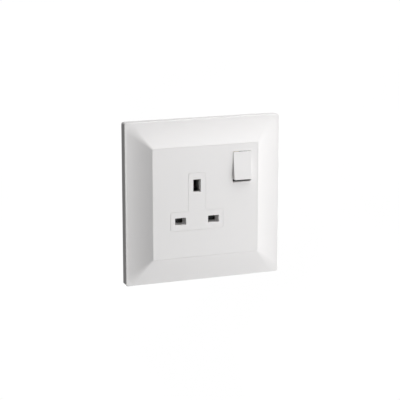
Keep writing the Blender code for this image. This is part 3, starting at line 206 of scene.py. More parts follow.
# Rounding of the CAD's own pieces
CAD_WELD = 0.001 * MM
CAD_FLAT = math.radians(0.6)
CAD_SHARP = math.radians(40)

# Camera, fitted to the photograph
LENS = 122.6
SENSOR = 36.0
CAMERA_AZIMUTH = -21.04
CAMERA_ELEVATION = 12.60
CAMERA_DISTANCE = 0.868
CAMERA_TILT = 12.70

# Soft lights: azimuth, elevation, distance, width, height and power
LIGHTS = {
    "key": (80, 20, 1.1, 0.6, 0.6, 3.3),
    "upper": (35, 45, 0.4, 0.25, 0.25, 0.28),
    "right": (70, 45, 0.4, 0.25, 0.25, 0.15),
    "top": (35, 75, 0.4, 0.25, 0.25, 0.89),
    "front": (20, -15, 1.1, 0.6, 0.6, 2.85),
    "near": (35, 10, 0.4, 0.25, 0.25, 0.115),
    "low": (35, -30, 0.4, 0.25, 0.25, 0.16),
    "below": (80, -50, 1.1, 0.6, 0.6, 5.4),
    "under": (20, -50, 1.1, 0.6, 0.6, 1.13),
    "behind": (130, 0, 1.1, 0.5, 0.5, 3.0),
    "rear": (180, -40, 1.1, 0.6, 0.6, 3.0),
}
WORLD_GREY = 0.178

# White studio, in metres
FLOOR_Z = -1.6
STUDIO_RADIUS = 2.4
STUDIO_BEND = 0.6
STUDIO_HEIGHT = 2.4
STUDIO_DOME = 0.8
STUDIO_STEPS = 64
STUDIO_WELD = 0.0001

# Noise of the materials: cycles per metre, and the part of the noise's range that is used
FLOW_SCALE = 45
FLOW_STRETCH = (1, 1, 2.2)
GLOSS_SCALE = 260
GRAIN_SCALE = 3200
STAIN_SCALE = 170
STREAK_SCALE = 700
STREAK_GLOSS = (0.7, 1.35)
PAPER_SCALE = 3
PAPER_WHITES = (1.0, 1.02)
VALUE_SPAN = (0.3, 0.7)
COLOUR_SPAN = (0.35, 0.65)
BUMP_DISTANCE = 0.02 * MM

# Name, colour, roughness, grain, mottle and unevenness of each plastic
PLASTICS = {
    "white_plastic": ("gloss_white_moulding", (0.838, 0.827, 0.824), 0.42, 0.006, 0.003, 0.02),
    "rocker": ("rocker_white_moulding", (0.83, 0.82, 0.817), 0.38, 0.006, 0.003, 0.02),
    "inner_white_plastic": ("satin_white_moulding", (0.74, 0.74, 0.72), 0.48, 0.16, 0.03, 0.12),
    "grey_moulding": ("grey_thermoset_moulding", (0.17, 0.18, 0.19), 0.5, 0.3, 0.14, 0.12),
    "black_plastic": ("black_slide_moulding", (0.012, 0.012, 0.013), 0.42, 0.2, 0.2, 0.12),
}

# Name, colour, tarnish, roughness, stretch of the streaks and bump of each metal
METALS = {
    "plated_steel": ("zinc_plated_steel", (0.70, 0.72, 0.73), (0.64, 0.66, 0.66), 0.46, (1, 1, 0.12), 0.03),
    "screw_steel": ("bright_zinc_screw", (0.76, 0.76, 0.75), (0.62, 0.62, 0.60), 0.28, (1, 0.3, 1), 0.12),
    "spring_steel": ("drawn_spring_wire", (0.62, 0.62, 0.63), (0.45, 0.45, 0.46), 0.3, (1, 1, 0.2), 0.12),
    "brass": ("rolled_brass_strip", (0.83, 0.65, 0.34), (0.66, 0.48, 0.22), 0.3, (1, 1, 0.1), 0.12),
    "brass_block": ("turned_brass_block", (0.80, 0.62, 0.31), (0.64, 0.47, 0.22), 0.32, (0.15, 1, 1), 0.12),
    "tinned_brass": ("tinned_strip", (0.80, 0.79, 0.77), (0.66, 0.65, 0.63), 0.42, (1, 1, 0.1), 0.12),
    "contact_silver": ("silver_contact_face", (0.86, 0.85, 0.82), (0.66, 0.64, 0.60), 0.3, (1, 1, 1), 0.12),
}

# CAD node, new piece, material, body, edge radius, and the slot where the material's key isn't one
REFINED = [
    ("rear_base", "rear_base_moulding", "grey_moulding", "mechanism", 0.18 * MM),
    ("front_housing", "front_housing_moulding", "inner_white_plastic", "mechanism", 0.1 * MM),
    ("inner_barrier", "inner_barrier_sheet", "inner_white_plastic", "mechanism", 0.06 * MM),
    ("support_plate", "support_plate_pressing", "plated_steel", "mechanism", 0.08 * MM),
    ("shutter", "shutter_slide_moulding", "black_plastic", "shutter_body", 0.1 * MM),
    ("plunger", "plunger_nose", "grey_moulding", "plunger_body", 0.05 * MM),
    ("switch_contact_arm", "tilting_arm", "brass", "contact_arm_body", 0.06 * MM),
    ("moving_contact_tip", "moving_tip", "contact_silver", "contact_arm_body", 0.05 * MM),
    ("fixed_contact_tip", "fixed_tip", "contact_silver", "mechanism", 0.05 * MM),
    ("earth_contact", "earth_contact_strip", "tinned_brass", "mechanism", 0.06 * MM, "brass"),
    ("neutral_contact", "neutral_contact_strip", "brass", "mechanism", 0.06 * MM),
    ("line_contact", "line_contact_strip", "brass", "mechanism", 0.06 * MM),
    ("switch_fixed_contact", "switch_fixed_contact_strip", "brass", "mechanism", 0.06 * MM),
    ("neutral_terminal", "neutral_terminal_block", "brass_block", "mechanism", 0.12 * MM, "brass"),
    ("earth_terminal", "earth_terminal_block", "brass_block", "mechanism", 0.12 * MM, "brass"),
    ("line_terminal", "line_terminal_block", "brass_block", "mechanism", 0.12 * MM, "brass"),
]

FACE_Y = -(RIM_DEPTH + CREST_RISE)
PAD_Y = FACE_Y - PAD_RISE
COVER_BACK = FACE_Y + COVER_WALL
EARTH_X = PIN_GROUP_X
EARTH_Z = LIVE_ROW_Z + PIN_PITCH
NEUTRAL_X = PIN_GROUP_X - PIN_PITCH / 2
LINE_X = PIN_GROUP_X + PIN_PITCH / 2
OPENING_WIDTH = ROCKER_WIDTH + 2 * OPENING_SIDE_GAP
JOINTS = {joint["name"]: joint for joint in frame["joints"]}
ROCKER_PIVOT = Vector(JOINTS["rocker_pivot"]["pos_m"])
ROCKER_X, ROCKER_Z = ROCKER_PIVOT.x, ROCKER_PIVOT.z


# Materials


def shader_of(name, roughness, metallic=0.0):
    """A new material with its nodes, its links and its shader."""
    made = bpy.data.materials.new(name)
    made.use_nodes = True
    nodes = made.node_tree.nodes
    shader = nodes["Principled BSDF"]
    shader.inputs["Roughness"].default_value = roughness
    shader.inputs["Metallic"].default_value = metallic
    return made, nodes, made.node_tree.links, shader


def noise(nodes, links, scale, detail, stretch=(1, 1, 1)):
    """A noise texture in the object's own metres; stretch lengthens it along an axis."""
    place = nodes.new("ShaderNodeTexCoord")
    mapping = nodes.new("ShaderNodeMapping")
    mapping.inputs["Scale"].default_value = stretch
    texture = nodes.new("ShaderNodeTexNoise")
    texture.inputs["Scale"].default_value = scale
    texture.inputs["Detail"].default_value = detail
    links.new(place.outputs["Object"], mapping.inputs["Vector"])
    links.new(mapping.outputs["Vector"], texture.inputs["Vector"])
    return texture


def ranged(nodes, links, source, low, high):
    """The noise source as a value between low and high."""
    made = nodes.new("ShaderNodeMapRange")
    made.inputs["From Min"].default_value, made.inputs["From Max"].default_value = VALUE_SPAN
    made.inputs["To Min"].default_value = low
    made.inputs["To Max"].default_value = high
    links.new(source, made.inputs["Value"])
    return made.outputs["Result"]


def ramp(nodes, links, source, low, high):
    """The noise source as a colour between low and high."""
    made = nodes.new("ShaderNodeValToRGB")
    for stop, position, colour in zip(made.color_ramp.elements, COLOUR_SPAN, (low, high)):
        stop.position = position
        stop.color = (*colour, 1)
    links.new(source, made.inputs["Fac"])
    return made.outputs["Color"]


def bumped(nodes, links, shader, source, strength):
    made = nodes.new("ShaderNodeBump")
    made.inputs["Strength"].default_value = strength
    made.inputs["Distance"].default_value = BUMP_DISTANCE
    links.new(source, made.inputs["Height"])
    links.new(made.outputs["Normal"], shader.inputs["Normal"])


def tinted(colour, share):
    return tuple(channel * share for channel in colour)


def moulded_plastic(name, colour, roughness, grain, mottle, unevenness):
    """Moulded plastic: a faint flow mottle in its colour and gloss, and the tool's fine grain."""
    made, nodes, links, shader = shader_of(name, roughness)
    flow = noise(nodes, links, FLOW_SCALE, 3, FLOW_STRETCH)
    tone = ramp(nodes, links, flow.outputs["Fac"], tinted(colour, 1 - mottle), colour)
    links.new(tone, shader.inputs["Base Color"])
    gloss = noise(nodes, links, GLOSS_SCALE, 4)
    low, high = roughness * (1 - unevenness), roughness * (1 + unevenness)
    links.new(ranged(nodes, links, gloss.outputs["Fac"], low, high), shader.inputs["Roughness"])
    fine = noise(nodes, links, GRAIN_SCALE, 2)
    bumped(nodes, links, shader, fine.outputs["Fac"], grain)
    return made


def metal(name, colour, tarnish, roughness, stretch, bump):
    """Rolled or plated metal: streaks along the rolling direction and a little tarnish."""
    made, nodes, links, shader = shader_of(name, roughness, metallic=1.0)
    stain = noise(nodes, links, STAIN_SCALE, 5)
    links.new(ramp(nodes, links, stain.outputs["Fac"], tarnish, colour), shader.inputs["Base Color"])
    streak = noise(nodes, links, STREAK_SCALE, 6, stretch)
    low, high = (roughness * share for share in STREAK_GLOSS)
    links.new(ranged(nodes, links, streak.outputs["Fac"], low, high), shader.inputs["Roughness"])
    bumped(nodes, links, shader, streak.outputs["Fac"], bump)
    return made


materials = {key: moulded_plastic(*values) for key, values in PLASTICS.items()}
materials.update({key: metal(*values) for key, values in METALS.items()})


# Outlines in the X-Z plane


def corner_path(corners, grow=0.0, steps=CORNER_STEPS):
    """The outline through (u, v, radius) corners, anticlockwise, with square turns. grow moves it out."""
    points = []
    count = len(corners)
    for i, (u, v, radius) in enumerate(corners):
        here = Vector((u, v))
        before = (here - Vector(corners[i - 1][:2])).normalized()
        after = (Vector(corners[(i + 1) % count][:2]) - here).normalized()
        out_before = Vector((before.y, -before.x))
        out_after = Vector((after.y, -after.x))
        side = 1 if before.cross(after) > 0 else -1
        reach = max(radius + side * grow, SMALLEST_RADIUS)
        middle = here + (out_before + out_after) * (grow - side * reach)
        for step in range(steps + 1):
            angle = math.pi / 2 * step / steps
            point = middle + side * reach * (math.cos(angle) * out_before + math.sin(angle) * out_after)
            points.append((point.x, point.y))
    return points


def box_corners(middle_u, middle_v, width, height, radius):
    """The (u, v, radius) corners of a rectangle."""
    left, right = middle_u - width / 2, middle_u + width / 2
    low, high = middle_v - height / 2, middle_v + height / 2
    return [(left, low, radius), (right, low, radius), (right, high, radius), (left, high, radius)]


def pad_corners():
    """The raised T round the pin apertures."""
    half_base, half_stem = PAD_BASE_WIDTH / 2, PAD_STEM_WIDTH / 2
    low, middle = LIVE_ROW_Z - PAD_BASE_BELOW, LIVE_ROW_Z + PAD_BASE_ABOVE
    high = EARTH_Z + PAD_STEM_ABOVE
    places = [
        (-half_base, low),
        (half_base, low),
        (half_base, middle),
        (half_stem, middle),
        (half_stem, high),
        (-half_stem, high),
        (-half_stem, middle),
        (-half_base, middle),
    ]
    return [(EARTH_X + u, v, PAD_CORNER) for u, v in places]


def slots():
    """Each pin aperture's corners and the depth of its sleeve behind the pad."""
    return {
        "neutral": (box_corners(NEUTRAL_X, LIVE_ROW_Z, *LIVE_SLOT, SLOT_CORNER), LIVE_SLEEVE_DEPTH),
        "line": (box_corners(LINE_X, LIVE_ROW_Z, *LIVE_SLOT, SLOT_CORNER), LIVE_SLEEVE_DEPTH),
        "earth": (box_corners(EARTH_X, EARTH_Z, *EARTH_SLOT, SLOT_CORNER), EARTH_SLEEVE_DEPTH),
    }


# Mesh building


def loop(bm, outline, y):
    """The outline's points as vertices at the depth y."""
    return [bm.verts.new((u, y, v)) for u, v in outline]


def strip(bm, near, far):
    """Faces between two loops that have as many points each."""
    for i in range(len(near)):
        j = (i + 1) % len(near)
        bm.faces.new((near[i], near[j], far[j], far[i]))


def stack(bm, corners, profile):
    """A wall through the outline at each (grow, y) of profile. It returns its first and last loops."""
    loops = [loop(bm, corner_path(corners, grow), y) for grow, y in profile]
    for near, far in zip(loops, loops[1:]):
        strip(bm, near, far)
    return loops[0], loops[-1]


def fill(bm, *loops):
    """A flat face between an outer loop and the loops of its holes."""
    edges = []
    for points in loops:
        for i, vert in enumerate(points):
            other = points[(i + 1) % len(points)]
            edges.append(bm.edges.get((vert, other)) or bm.edges.new((vert, other)))
    bmesh.ops.triangle_fill(bm, use_beauty=True, use_dissolve=False, edges=edges)


def quarter(steps=EDGE_STEPS):
    """The angles of a quarter turn, from 0 to a right angle."""
    return [math.pi / 2 * step / steps for step in range(steps + 1)]


def lip(grow, y, radius, side):
    """(grow, y) points from a flat face round its edge into the wall: side 1 for a hole, -1 for a boss."""
    round_edge = [
        (grow + side * radius * (1 - math.sin(a)), y + radius * (1 - math.cos(a))) for a in quarter()
    ]
    return [(grow + side * (radius + MARGIN), y)] + round_edge


def fillet(grow, y, radius):
    """(grow, y) points from a boss's wall out into the face that it stands on."""
    turn = [(grow + radius * (1 - math.cos(a)), y - radius * (1 - math.sin(a))) for a in quarter(3)]
    return turn + [(grow + radius + MARGIN, y)]


def reverse_lip(grow, y, radius, side):
    """As lip, for a wall that ends at a face which looks the other way."""
    return [(g, 2 * y - other) for g, other in lip(grow, y, radius, side)][::-1]


def piece(name, bm, material, body, replaces=(), matrix=None):
    """A finished piece of the scene from bm, smooth but for its sharp edges."""
    bmesh.ops.remove_doubles(bm, verts=bm.verts, dist=WELD)
    bmesh.ops.recalc_face_normals(bm, faces=bm.faces)
    if matrix:
        bm.transform(matrix)
    mesh = bpy.data.meshes.new(name)
    bm.to_mesh(mesh)
    bm.free()
    mesh.shade_smooth()
    mesh.set_sharp_from_angle(angle=SHARP)
    mesh.materials.append(materials[material])
    made = bpy.data.objects.new(name, mesh)
    bpy.context.scene.collection.objects.link(made)
    weighted = made.modifiers.new("weighted_normals", "WEIGHTED_NORMAL")
    weighted.keep_sharp = True
    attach(made, body)
    if replaces:
        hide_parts(*replaces)
    return made


def rounded_bar(bm, outline, left, right, edge):
    """A Y-Z outline made solid along X, with its edges bevelled."""
    part = bmesh.new()
    near = [part.verts.new((left, y, z)) for y, z in outline]
    far = [part.verts.new((right, y, z)) for y, z in outline]
    part.faces.new(near)
    part.faces.new(far)
    strip(part, near, far)
    bmesh.ops.recalc_face_normals(part, faces=part.faces)
    bmesh.ops.bevel(
        part,
        geom=part.edges[:],
        offset=edge,
        segments=BEVEL_STEPS,
        profile=0.5,
        affect="EDGES",
        clamp_overlap=True,
    )
    take(bm, part)


def take(bm, part):
    """Adds the mesh of part to bm."""
    mesh = bpy.data.meshes.new("part")
    part.to_mesh(mesh)
    part.free()
    bm.from_mesh(mesh)
    bpy.data.meshes.remove(mesh)


# Surround


def slope_rise(distance, run):
    """Height of the scooped slope over the rim, at a distance from the crest."""
    gentle = 2 * CREST_RISE / run / (1 + SCOOP_RATIO)
    inward = run - distance
    return gentle * inward + gentle * (SCOOP_RATIO - 1) * inward**2 / (2 * run)


def surround_sections(half):
    """(half side, corner radius, y) of each ring, from the back of the rim round to the back again."""
    lip_half = COVER_SIDE / 2 + COVER_GAP
    crest = lip_half + CREST_EDGE
    run = half - RIM_WIDTH - crest
    sections = [
        (half - BACK_EDGE * (1 - math.sin(a)), PLATE_CORNER, -BACK_EDGE * (1 - math.cos(a)))
        for a in quarter(3)
    ]
    sections += [
        (half - RIM_EDGE * (1 - math.cos(a)), PLATE_CORNER, -RIM_DEPTH + RIM_EDGE * (1 - math.sin(a)))
        for a in quarter()
    ]
    begin = CREST_EDGE * math.sin(CREST_TILT) * CREST_START

    def slope(distance, sink):
        corner = COVER_CORNER + MITRE_SOFTNESS * distance
        return (crest + distance, corner, -RIM_DEPTH - slope_rise(distance, run) + sink)

    for i in range(SLOPE_STEPS + 1):
        sections.append(slope(run - (run - begin) * i / SLOPE_STEPS, 0))
    turn = CREST_TILT + math.pi / 2
    for i in range(EDGE_STEPS + 2):
        angle = CREST_TILT - turn * i / (EDGE_STEPS + 1)
        place = crest + CREST_EDGE * math.sin(angle)
        sections.append((place, COVER_CORNER, FACE_Y + CREST_EDGE * (1 - math.cos(angle))))
    lip_back = FACE_Y + FRAME_LIP_DEPTH
    sections += [
        (lip_half, COVER_CORNER, lip_back - BACK_EDGE),
        (lip_half + BACK_EDGE, COVER_CORNER, lip_back),
        (lip_half + FRAME_LIP, COVER_CORNER, lip_back),
    ]
    start = lip_half + FRAME_LIP - crest
    under = half - FRAME_WALL - crest
    steps = SLOPE_STEPS // 2
    sections += [slope(start + (min(under, run) - start) * i / steps, FRAME_WALL) for i in range(steps + 1)]
    sections += [
        (half - FRAME_WALL, PLATE_CORNER, FRAME_WALL - RIM_DEPTH + RIM_BEND),
        (half - FRAME_WALL, PLATE_CORNER, -BACK_EDGE),
        (half - FRAME_WALL + BACK_EDGE, PLATE_CORNER, 0),
    ]
    return sections, crest, run


def surround():
    """The clip-on frame: rim, scooped slope, crest and lip in one skin, with four hooked clips."""
    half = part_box("surround_frame")[1].x
    sections, crest, run = surround_sections(half)
    bm = bmesh.new()
    loops = [
        loop(bm, corner_path(box_corners(0, 0, 2 * size, 2 * size, corner)), y)
        for size, corner, y in sections
    ]
    for near, far in zip(loops, loops[1:] + loops[:1]):
        strip(bm, near, far)
    near = FLANGE_PLACE + SHEET + SEAT_GAP
    root = -RIM_DEPTH - slope_rise(near - crest, run) + FRAME_WALL / 2
    barb_back = -CLIP_END
    barb_front = barb_back - CLIP_BARB_HEIGHT
    barb = near - SEAT_GAP - CLIP_BARB
    profile = [(root, near), (barb_front, near), (barb_front, barb), (barb_back, near)]
    profile += [(barb_back, near + CLIP_THICK), (root, near + CLIP_THICK)]
    for x in (-CLIP_PITCH / 2, CLIP_PITCH / 2):
        for side in (-1, 1):
            outline = [(y, z * side) for y, z in profile]
            rounded_bar(bm, outline, x - CLIP_WIDTH / 2, x + CLIP_WIDTH / 2, CLIP_EDGE)
    piece("surround", bm, "white_plastic", "mechanism", ["surround_frame"])


# Centre cover


def cover_clip_places():
    bump_left = ROCKER_X - OPENING_WIDTH / 2 - BUMP_MARGIN_X
    right = (LINE_TERMINAL_X + bump_left) / 2 - CLIP_WIDTH / 2
    return [(x, side) for x in (NEUTRAL_X, right) for side in (-1, 1)]


def cover_clips(bm):
    near = HOUSING_HALF_Z + SEAT_GAP
    tip = HOUSING_BACK - CLIP_END
    hook = tip - CLIP_BARB_HEIGHT
    root = COVER_BACK - COVER_WALL / 2
    profile = [(root, near), (hook, near), (hook, near - SEAT_GAP - CLIP_BARB), (tip, near)]
    profile += [(tip, near + CLIP_THICK), (root, near + CLIP_THICK)]
    for x, side in cover_clip_places():
        outline = [(y, z * side) for y, z in profile]
        rounded_bar(bm, outline, x - CLIP_WIDTH / 2, x + CLIP_WIDTH / 2, CLIP_EDGE)


def cover():
    """The flush cover in one skin: face, T pad, rocker border, pin sleeves and skirt."""
    bm = bmesh.new()
    shell = box_corners(0, 0, COVER_SIDE, COVER_SIDE, COVER_CORNER)
    opening = box_corners(ROCKER_X, ROCKER_Z + OPENING_RISE, OPENING_WIDTH, OPENING_HEIGHT, OPENING_CORNER)
    skirt_back = FACE_Y + SKIRT_DEPTH
    outside = lip(0, FACE_Y, COVER_EDGE, -1) + reverse_lip(0, skirt_back, SKIRT_EDGE, -1)[:-1]
    inside = [(SKIRT_EDGE - SKIRT_WALL, skirt_back), (-SKIRT_WALL, skirt_back - SKIRT_EDGE)]
    inside += [(-SKIRT_WALL, COVER_BACK + SKIRT_FILLET), (-SKIRT_WALL - SKIRT_FILLET, COVER_BACK)]
    face_edge, under_edge = stack(bm, shell, outside + inside)

    pad = pad_corners()
    line_floor = FACE_Y + PAD_LINE_DEPTH
    pad_profile = lip(0, PAD_Y, PAD_EDGE, -1)
    pad_profile += [(0, line_floor), (PAD_LINE_WIDTH, line_floor), (PAD_LINE_WIDTH, FACE_Y)]
    pad_top, pad_foot = stack(bm, pad, pad_profile)

    border_y = FACE_Y - BORDER_RISE
    border_profile = lip(BORDER_WIDTH, border_y, BORDER_EDGE, -1)
    border_profile += fillet(BORDER_WIDTH, FACE_Y, BORDER_EDGE)
    border_top, border_foot = stack(bm, opening, border_profile)
    fill(bm, face_edge, pad_foot, border_foot)

    opening_profile = lip(0, border_y, OPENING_EDGE, 1)
    opening_profile += [(0, COVER_BACK - MARGIN), (0, COVER_BACK)]
    opening_top, opening_back = stack(bm, opening, opening_profile)
    strip(bm, border_top, opening_top)

    tops, backs = [], [opening_back]
    for corners, depth in slots().values():
        end = PAD_Y + depth
        profile = lip(0, PAD_Y, SLOT_EDGE, 1) + reverse_lip(0, end, SLEEVE_EDGE, 1)[:-1]
        profile += [(SLEEVE_WALL - SLEEVE_CHAMFER, end), (SLEEVE_WALL, end - SLEEVE_CHAMFER)]
        profile.append((SLEEVE_WALL, COVER_BACK))
        top, back = stack(bm, corners, profile)
        tops.append(top)
        backs.append(back)
    fill(bm, pad_top, *tops)
    fill(bm, under_edge, *backs)
    cover_clips(bm)
    piece("cover", bm, "white_plastic", "mechanism", ["centre_cover"])


# Rocker


def rocker_local():
    """The paddle's own place: its origin on the pivot, tilted to its rest."""
    return Matrix.Translation(ROCKER_PIVOT) @ Matrix.Rotation(ROCKER_TILT, 4, "X")


def rocker_outline(shrink_x, shrink_z, corner):
    """A rounded rectangle whose long sides are divided, so that the dished face can follow them."""
    width, height = ROCKER_WIDTH - 2 * shrink_x, ROCKER_HEIGHT - 2 * shrink_z
    points = corner_path(box_corners(0, 0, width, height, corner), steps=6)
    per_side, made = 14, []
    for i, point in enumerate(points):
        made.append(point)
        after = points[(i + 1) % len(points)]
        if abs(after[0] - point[0]) < TINY and abs(after[1] - point[1]) > height / 2:
            step = (after[1] - point[1]) / per_side
            made += [(point[0], point[1] + step * k) for k in range(1, per_side)]
    return made


def dished(outline, y, depth):
    """The outline at y, moved forward towards its ends by the face's dish."""
    half = ROCKER_HEIGHT / 2
    return [(u, y - depth * (v / half) ** 2, v) for u, v in outline]


def rocker_rings():
    """The paddle's rings, from its dished face round to the floor of its hollow back."""
    front = -ROCKER_REACH
    length = ROCKER_REACH + ROCKER_BACK
    flat = ROCKER_EDGE + MARGIN
    rings = [dished(rocker_outline(flat, flat, ROCKER_CORNER), front, ROCKER_DISH)]
    for a in quarter(6):
        shrink = ROCKER_EDGE * (1 - math.sin(a))
        depth = ROCKER_EDGE * (1 - math.cos(a))
        taper = ROCKER_TAPER * depth / length
        outline = rocker_outline(shrink, shrink + taper, ROCKER_CORNER)
        rings.append(dished(outline, front + depth, ROCKER_DISH))
    for share in ROCKER_RINGS:
        y = front + ROCKER_EDGE + (length - ROCKER_EDGE) * share
        dish = ROCKER_DISH * (1 - share)
        taper = ROCKER_TAPER * (ROCKER_EDGE + (length - ROCKER_EDGE) * share) / length
        rings.append(dished(rocker_outline(0, taper, ROCKER_CORNER), y, dish))
    inner = rocker_outline(ROCKER_WALL, ROCKER_WALL + ROCKER_TAPER, ROCKER_CORNER / 2)
    rings.append(dished(inner, ROCKER_BACK, 0))
    deep = rocker_outline(ROCKER_WALL, ROCKER_WALL, ROCKER_CORNER / 2)
    rings.append(dished(deep, front + ROCKER_WALL + ROCKER_DISH, 0))
    return rings


def ladder(bm, ring):
    """Fills a ring that is level across X with rungs from its left side to its right side."""
    ordered = sorted(ring, key=lambda vert: (round(vert.co.z, 7), vert.co.x))
    rows = []
    for vert in ordered:
        if rows and abs(rows[-1][0].co.z - vert.co.z) < LEVEL:
            rows[-1].append(vert)
        else:
            rows.append([vert])
    for low, high in zip(rows, rows[1:]):
        bm.faces.new([low[0], low[-1], high[-1], high[0]])


def tube(bm, radius, start, end, edge, bore=0.0):
    """A rod from start to end with rounded ends, or a tube when it has a bore."""
    start, end = Vector(start), Vector(end)
    along = (end - start).normalized()
    side = along.orthogonal().normalized()
    other = along.cross(side)
    length = (end - start).length
    profile = [(0.0, 0.0)] if not bore else []
    profile += [(radius - edge * (1 - math.sin(a)), edge * (1 - math.cos(a))) for a in quarter(3)]
    profile += [(radius - edge * (1 - math.cos(a)), length - edge * (1 - math.sin(a))) for a in quarter(3)]
    if bore:
        profile += [(bore + edge, length), (bore, length - edge), (bore, 0.0)]
    else:
        profile.append((0.0, length))
    rows = []
    for reach, height in profile:
        middle = start + along * height
        if reach < TINY:
            rows.append([bm.verts.new(middle)])
            continue
        angles = [2 * math.pi * i / ROUND_STEPS for i in range(ROUND_STEPS)]
        rows.append(
            [bm.verts.new(middle + reach * (math.cos(a) * side + math.sin(a) * other)) for a in angles]
        )
    pairs = list(zip(rows, rows[1:])) + ([(rows[-1], rows[0])] if bore else [])
    for near, far in pairs:
        if len(near) == 1 or len(far) == 1:
            tip, rim = (near[0], far) if len(near) == 1 else (far[0], near)
            for i in range(len(rim)):
                bm.faces.new((tip, rim[i], rim[(i + 1) % len(rim)]))
        else:
            strip(bm, near, far)


def rocker():
    """The paddle with its plunger tube, two trunnions and the webs between them."""
    bm = bmesh.new()
    rings = [[bm.verts.new(point) for point in ring] for ring in rocker_rings()]
    for near, far in zip(rings, rings[1:]):
        strip(bm, near, far)
    ladder(bm, rings[0])
    ladder(bm, rings[-1])
    floor = -ROCKER_REACH + ROCKER_DISH + ROCKER_WALL
    guide_start = (0, floor - TUBE_ROOT, 0)
    tube(bm, GUIDE_RADIUS, guide_start, (0, GUIDE_END, 0), GUIDE_EDGE, bore=BORE_RADIUS)
    for side in (-1, 1):
        start = (side * (ROCKER_WIDTH / 2 - ROCKER_WALL / 2), 0, 0)
        end = (side * (OPENING_WIDTH / 2 + TRUNNION_LENGTH), 0, 0)
        tube(bm, TRUNNION_RADIUS, start, end, TRUNNION_EDGE)
        near = side * (GUIDE_RADIUS - TUBE_ROOT)
        far = side * (ROCKER_WIDTH / 2 - ROCKER_WALL / 2)
        web = [(floor - WEB_ROOT, -ROCKER_WEB / 2), (ROCKER_BACK, -ROCKER_WEB / 2)]
        web += [(ROCKER_BACK, ROCKER_WEB / 2), (floor - WEB_ROOT, ROCKER_WEB / 2)]
        rounded_bar(bm, web, min(near, far), max(near, far), WEB_EDGE)
    piece("rocker_paddle", bm, "rocker", "rocker_body", ["rocker"], matrix=rocker_local())


# Screws


def screw_rings(bm, profile):
    """A turned wall along Y through each (radius, height) of profile. It returns its rings."""
    rings = []
    for radius, height in profile:
        ring = []
        for i in range(SCREW_STEPS):
            angle = 2 * math.pi * i / SCREW_STEPS
            ring.append(bm.verts.new((radius * math.cos(angle), height, radius * math.sin(angle))))
        rings.append(ring)
    for near, far in zip(rings, rings[1:]):
        strip(bm, near, far)
    return rings


def thread(bm, top, radius, pitch, length):
    """A threaded shank from the ring top down to a chamfered end, as one helical skin."""
    rows = int(length / pitch * THREAD_ROWS)
    near = top
    for row in range(1, rows + 1):
        height = -length * row / rows
        ring = []
        for i in range(SCREW_STEPS):
            turn = (height / pitch - i / SCREW_STEPS) % 1.0
            crest = 1 - abs(2 * turn - 1)
            fade = min(1.0, row / THREAD_ROWS, (rows - row) / THREAD_ROWS)
            reach = radius - THREAD_DEPTH * pitch * (1 - min(1.0, THREAD_FLANK * crest)) * fade
            reach -= max(0.0, radius * POINT_DEPTH * (1 - (rows - row) / (POINT_LENGTH * THREAD_ROWS)))
            angle = 2 * math.pi * i / SCREW_STEPS
            ring.append(bm.verts.new((reach * math.cos(angle), height, reach * math.sin(angle))))
        strip(bm, near, ring)
        near = ring
    bm.faces.new(near)


def cross_corners(reach, half):
    """A plus sign, anticlockwise."""
    quarter_turn = [(reach, -half), (reach, half), (half, half)]
    places = []
    for turn in range(4):
        for u, v in quarter_turn:
            for _ in range(turn):
                u, v = -v, u
            places.append((u, v, RECESS_CORNER))
    return places


def screw(name, sizes, front):
    """A pan-head machine screw with a cross recess, in the place of the CAD node of that name."""
    head_radius, head_height, radius, pitch = sizes
    low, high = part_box(name)
    length = high.y - low.y - head_height
    bm = bmesh.new()
    flat = head_radius * HEAD_FLAT
    dome = head_height * HEAD_DOME
    head = [(flat, head_height)]
    for a in quarter(6)[1:]:
        head.append((flat + (head_radius - flat) * math.sin(a), head_height - dome * (1 - math.cos(a))))
    head += [(head_radius, HEAD_EDGE), (head_radius - HEAD_EDGE, 0), (radius, 0)]
    rings = screw_rings(bm, head)
    thread(bm, rings[-1], radius, pitch, length)
    recess = cross_corners(head_radius * RECESS_REACH, head_radius * RECESS_HALF_WIDTH)
    shape = [(grow, head_height - depth) for grow, depth in RECESS_PROFILE]
    loops = [loop(bm, corner_path(recess, grow, steps=2), y) for grow, y in shape]
    for near, far in zip(loops, loops[1:]):
        strip(bm, near, far)
    fill(bm, loops[-1])
    fill(bm, rings[0], loops[0])
    middle = (low + high) / 2
    seat = low.y + head_height if front else high.y - head_height
    turn = Matrix.Diagonal((1, -1 if front else 1, 1, 1))
    place = Matrix.Translation((middle.x, seat, middle.z)) @ turn
    piece(name + "_threaded", bm, "screw_steel", "mechanism", [name], matrix=place)


def screws():
    for side in ("left", "right"):
        screw("fixing_screw_" + side, FIXING_SCREW, True)
    for place in ("upper_left", "lower_left", "lower_right", "top"):
        screw("assembly_screw_" + place, ASSEMBLY_SCREW, False)
    for place in ("neutral", "earth", "line"):
        screw(place + "_terminal_screw", TERMINAL_SCREW, False)


# Springs


def coil(bm, radius, wire, turns, length, place):
    """A compression spring with closed ends along +Z, put in its place by a matrix."""
    per_turn, sides = 28, 10
    total = (turns + 2) * per_turn
    travel = length - 3 * wire
    centres = []
    for i in range(total + 1):
        wound = i / per_turn
        open_share = min(max(wound - 1, 0), turns) / turns
        closed = min(wound, 1) + max(wound - 1 - turns, 0)
        angle = 2 * math.pi * wound
        height = wire / 2 + travel * open_share + closed * wire
        centres.append(Vector((radius * math.cos(angle), radius * math.sin(angle), height)))
    rings = []
    for i, middle in enumerate(centres):
        along = (centres[min(i + 1, total)] - centres[max(i - 1, 0)]).normalized()
        out = Vector((middle.x, middle.y, 0)).normalized()
        out = (out - along * out.dot(along)).normalized()
        up = along.cross(out)
        angles = [2 * math.pi * k / sides for k in range(sides)]
        around = [math.cos(a) * out + math.sin(a) * up for a in angles]
        rings.append([bm.verts.new(place @ (middle + wire / 2 * away)) for away in around])
    for near, far in zip(rings, rings[1:]):
        strip(bm, near, far)
    bm.faces.new(rings[0])
    bm.faces.new(rings[-1])


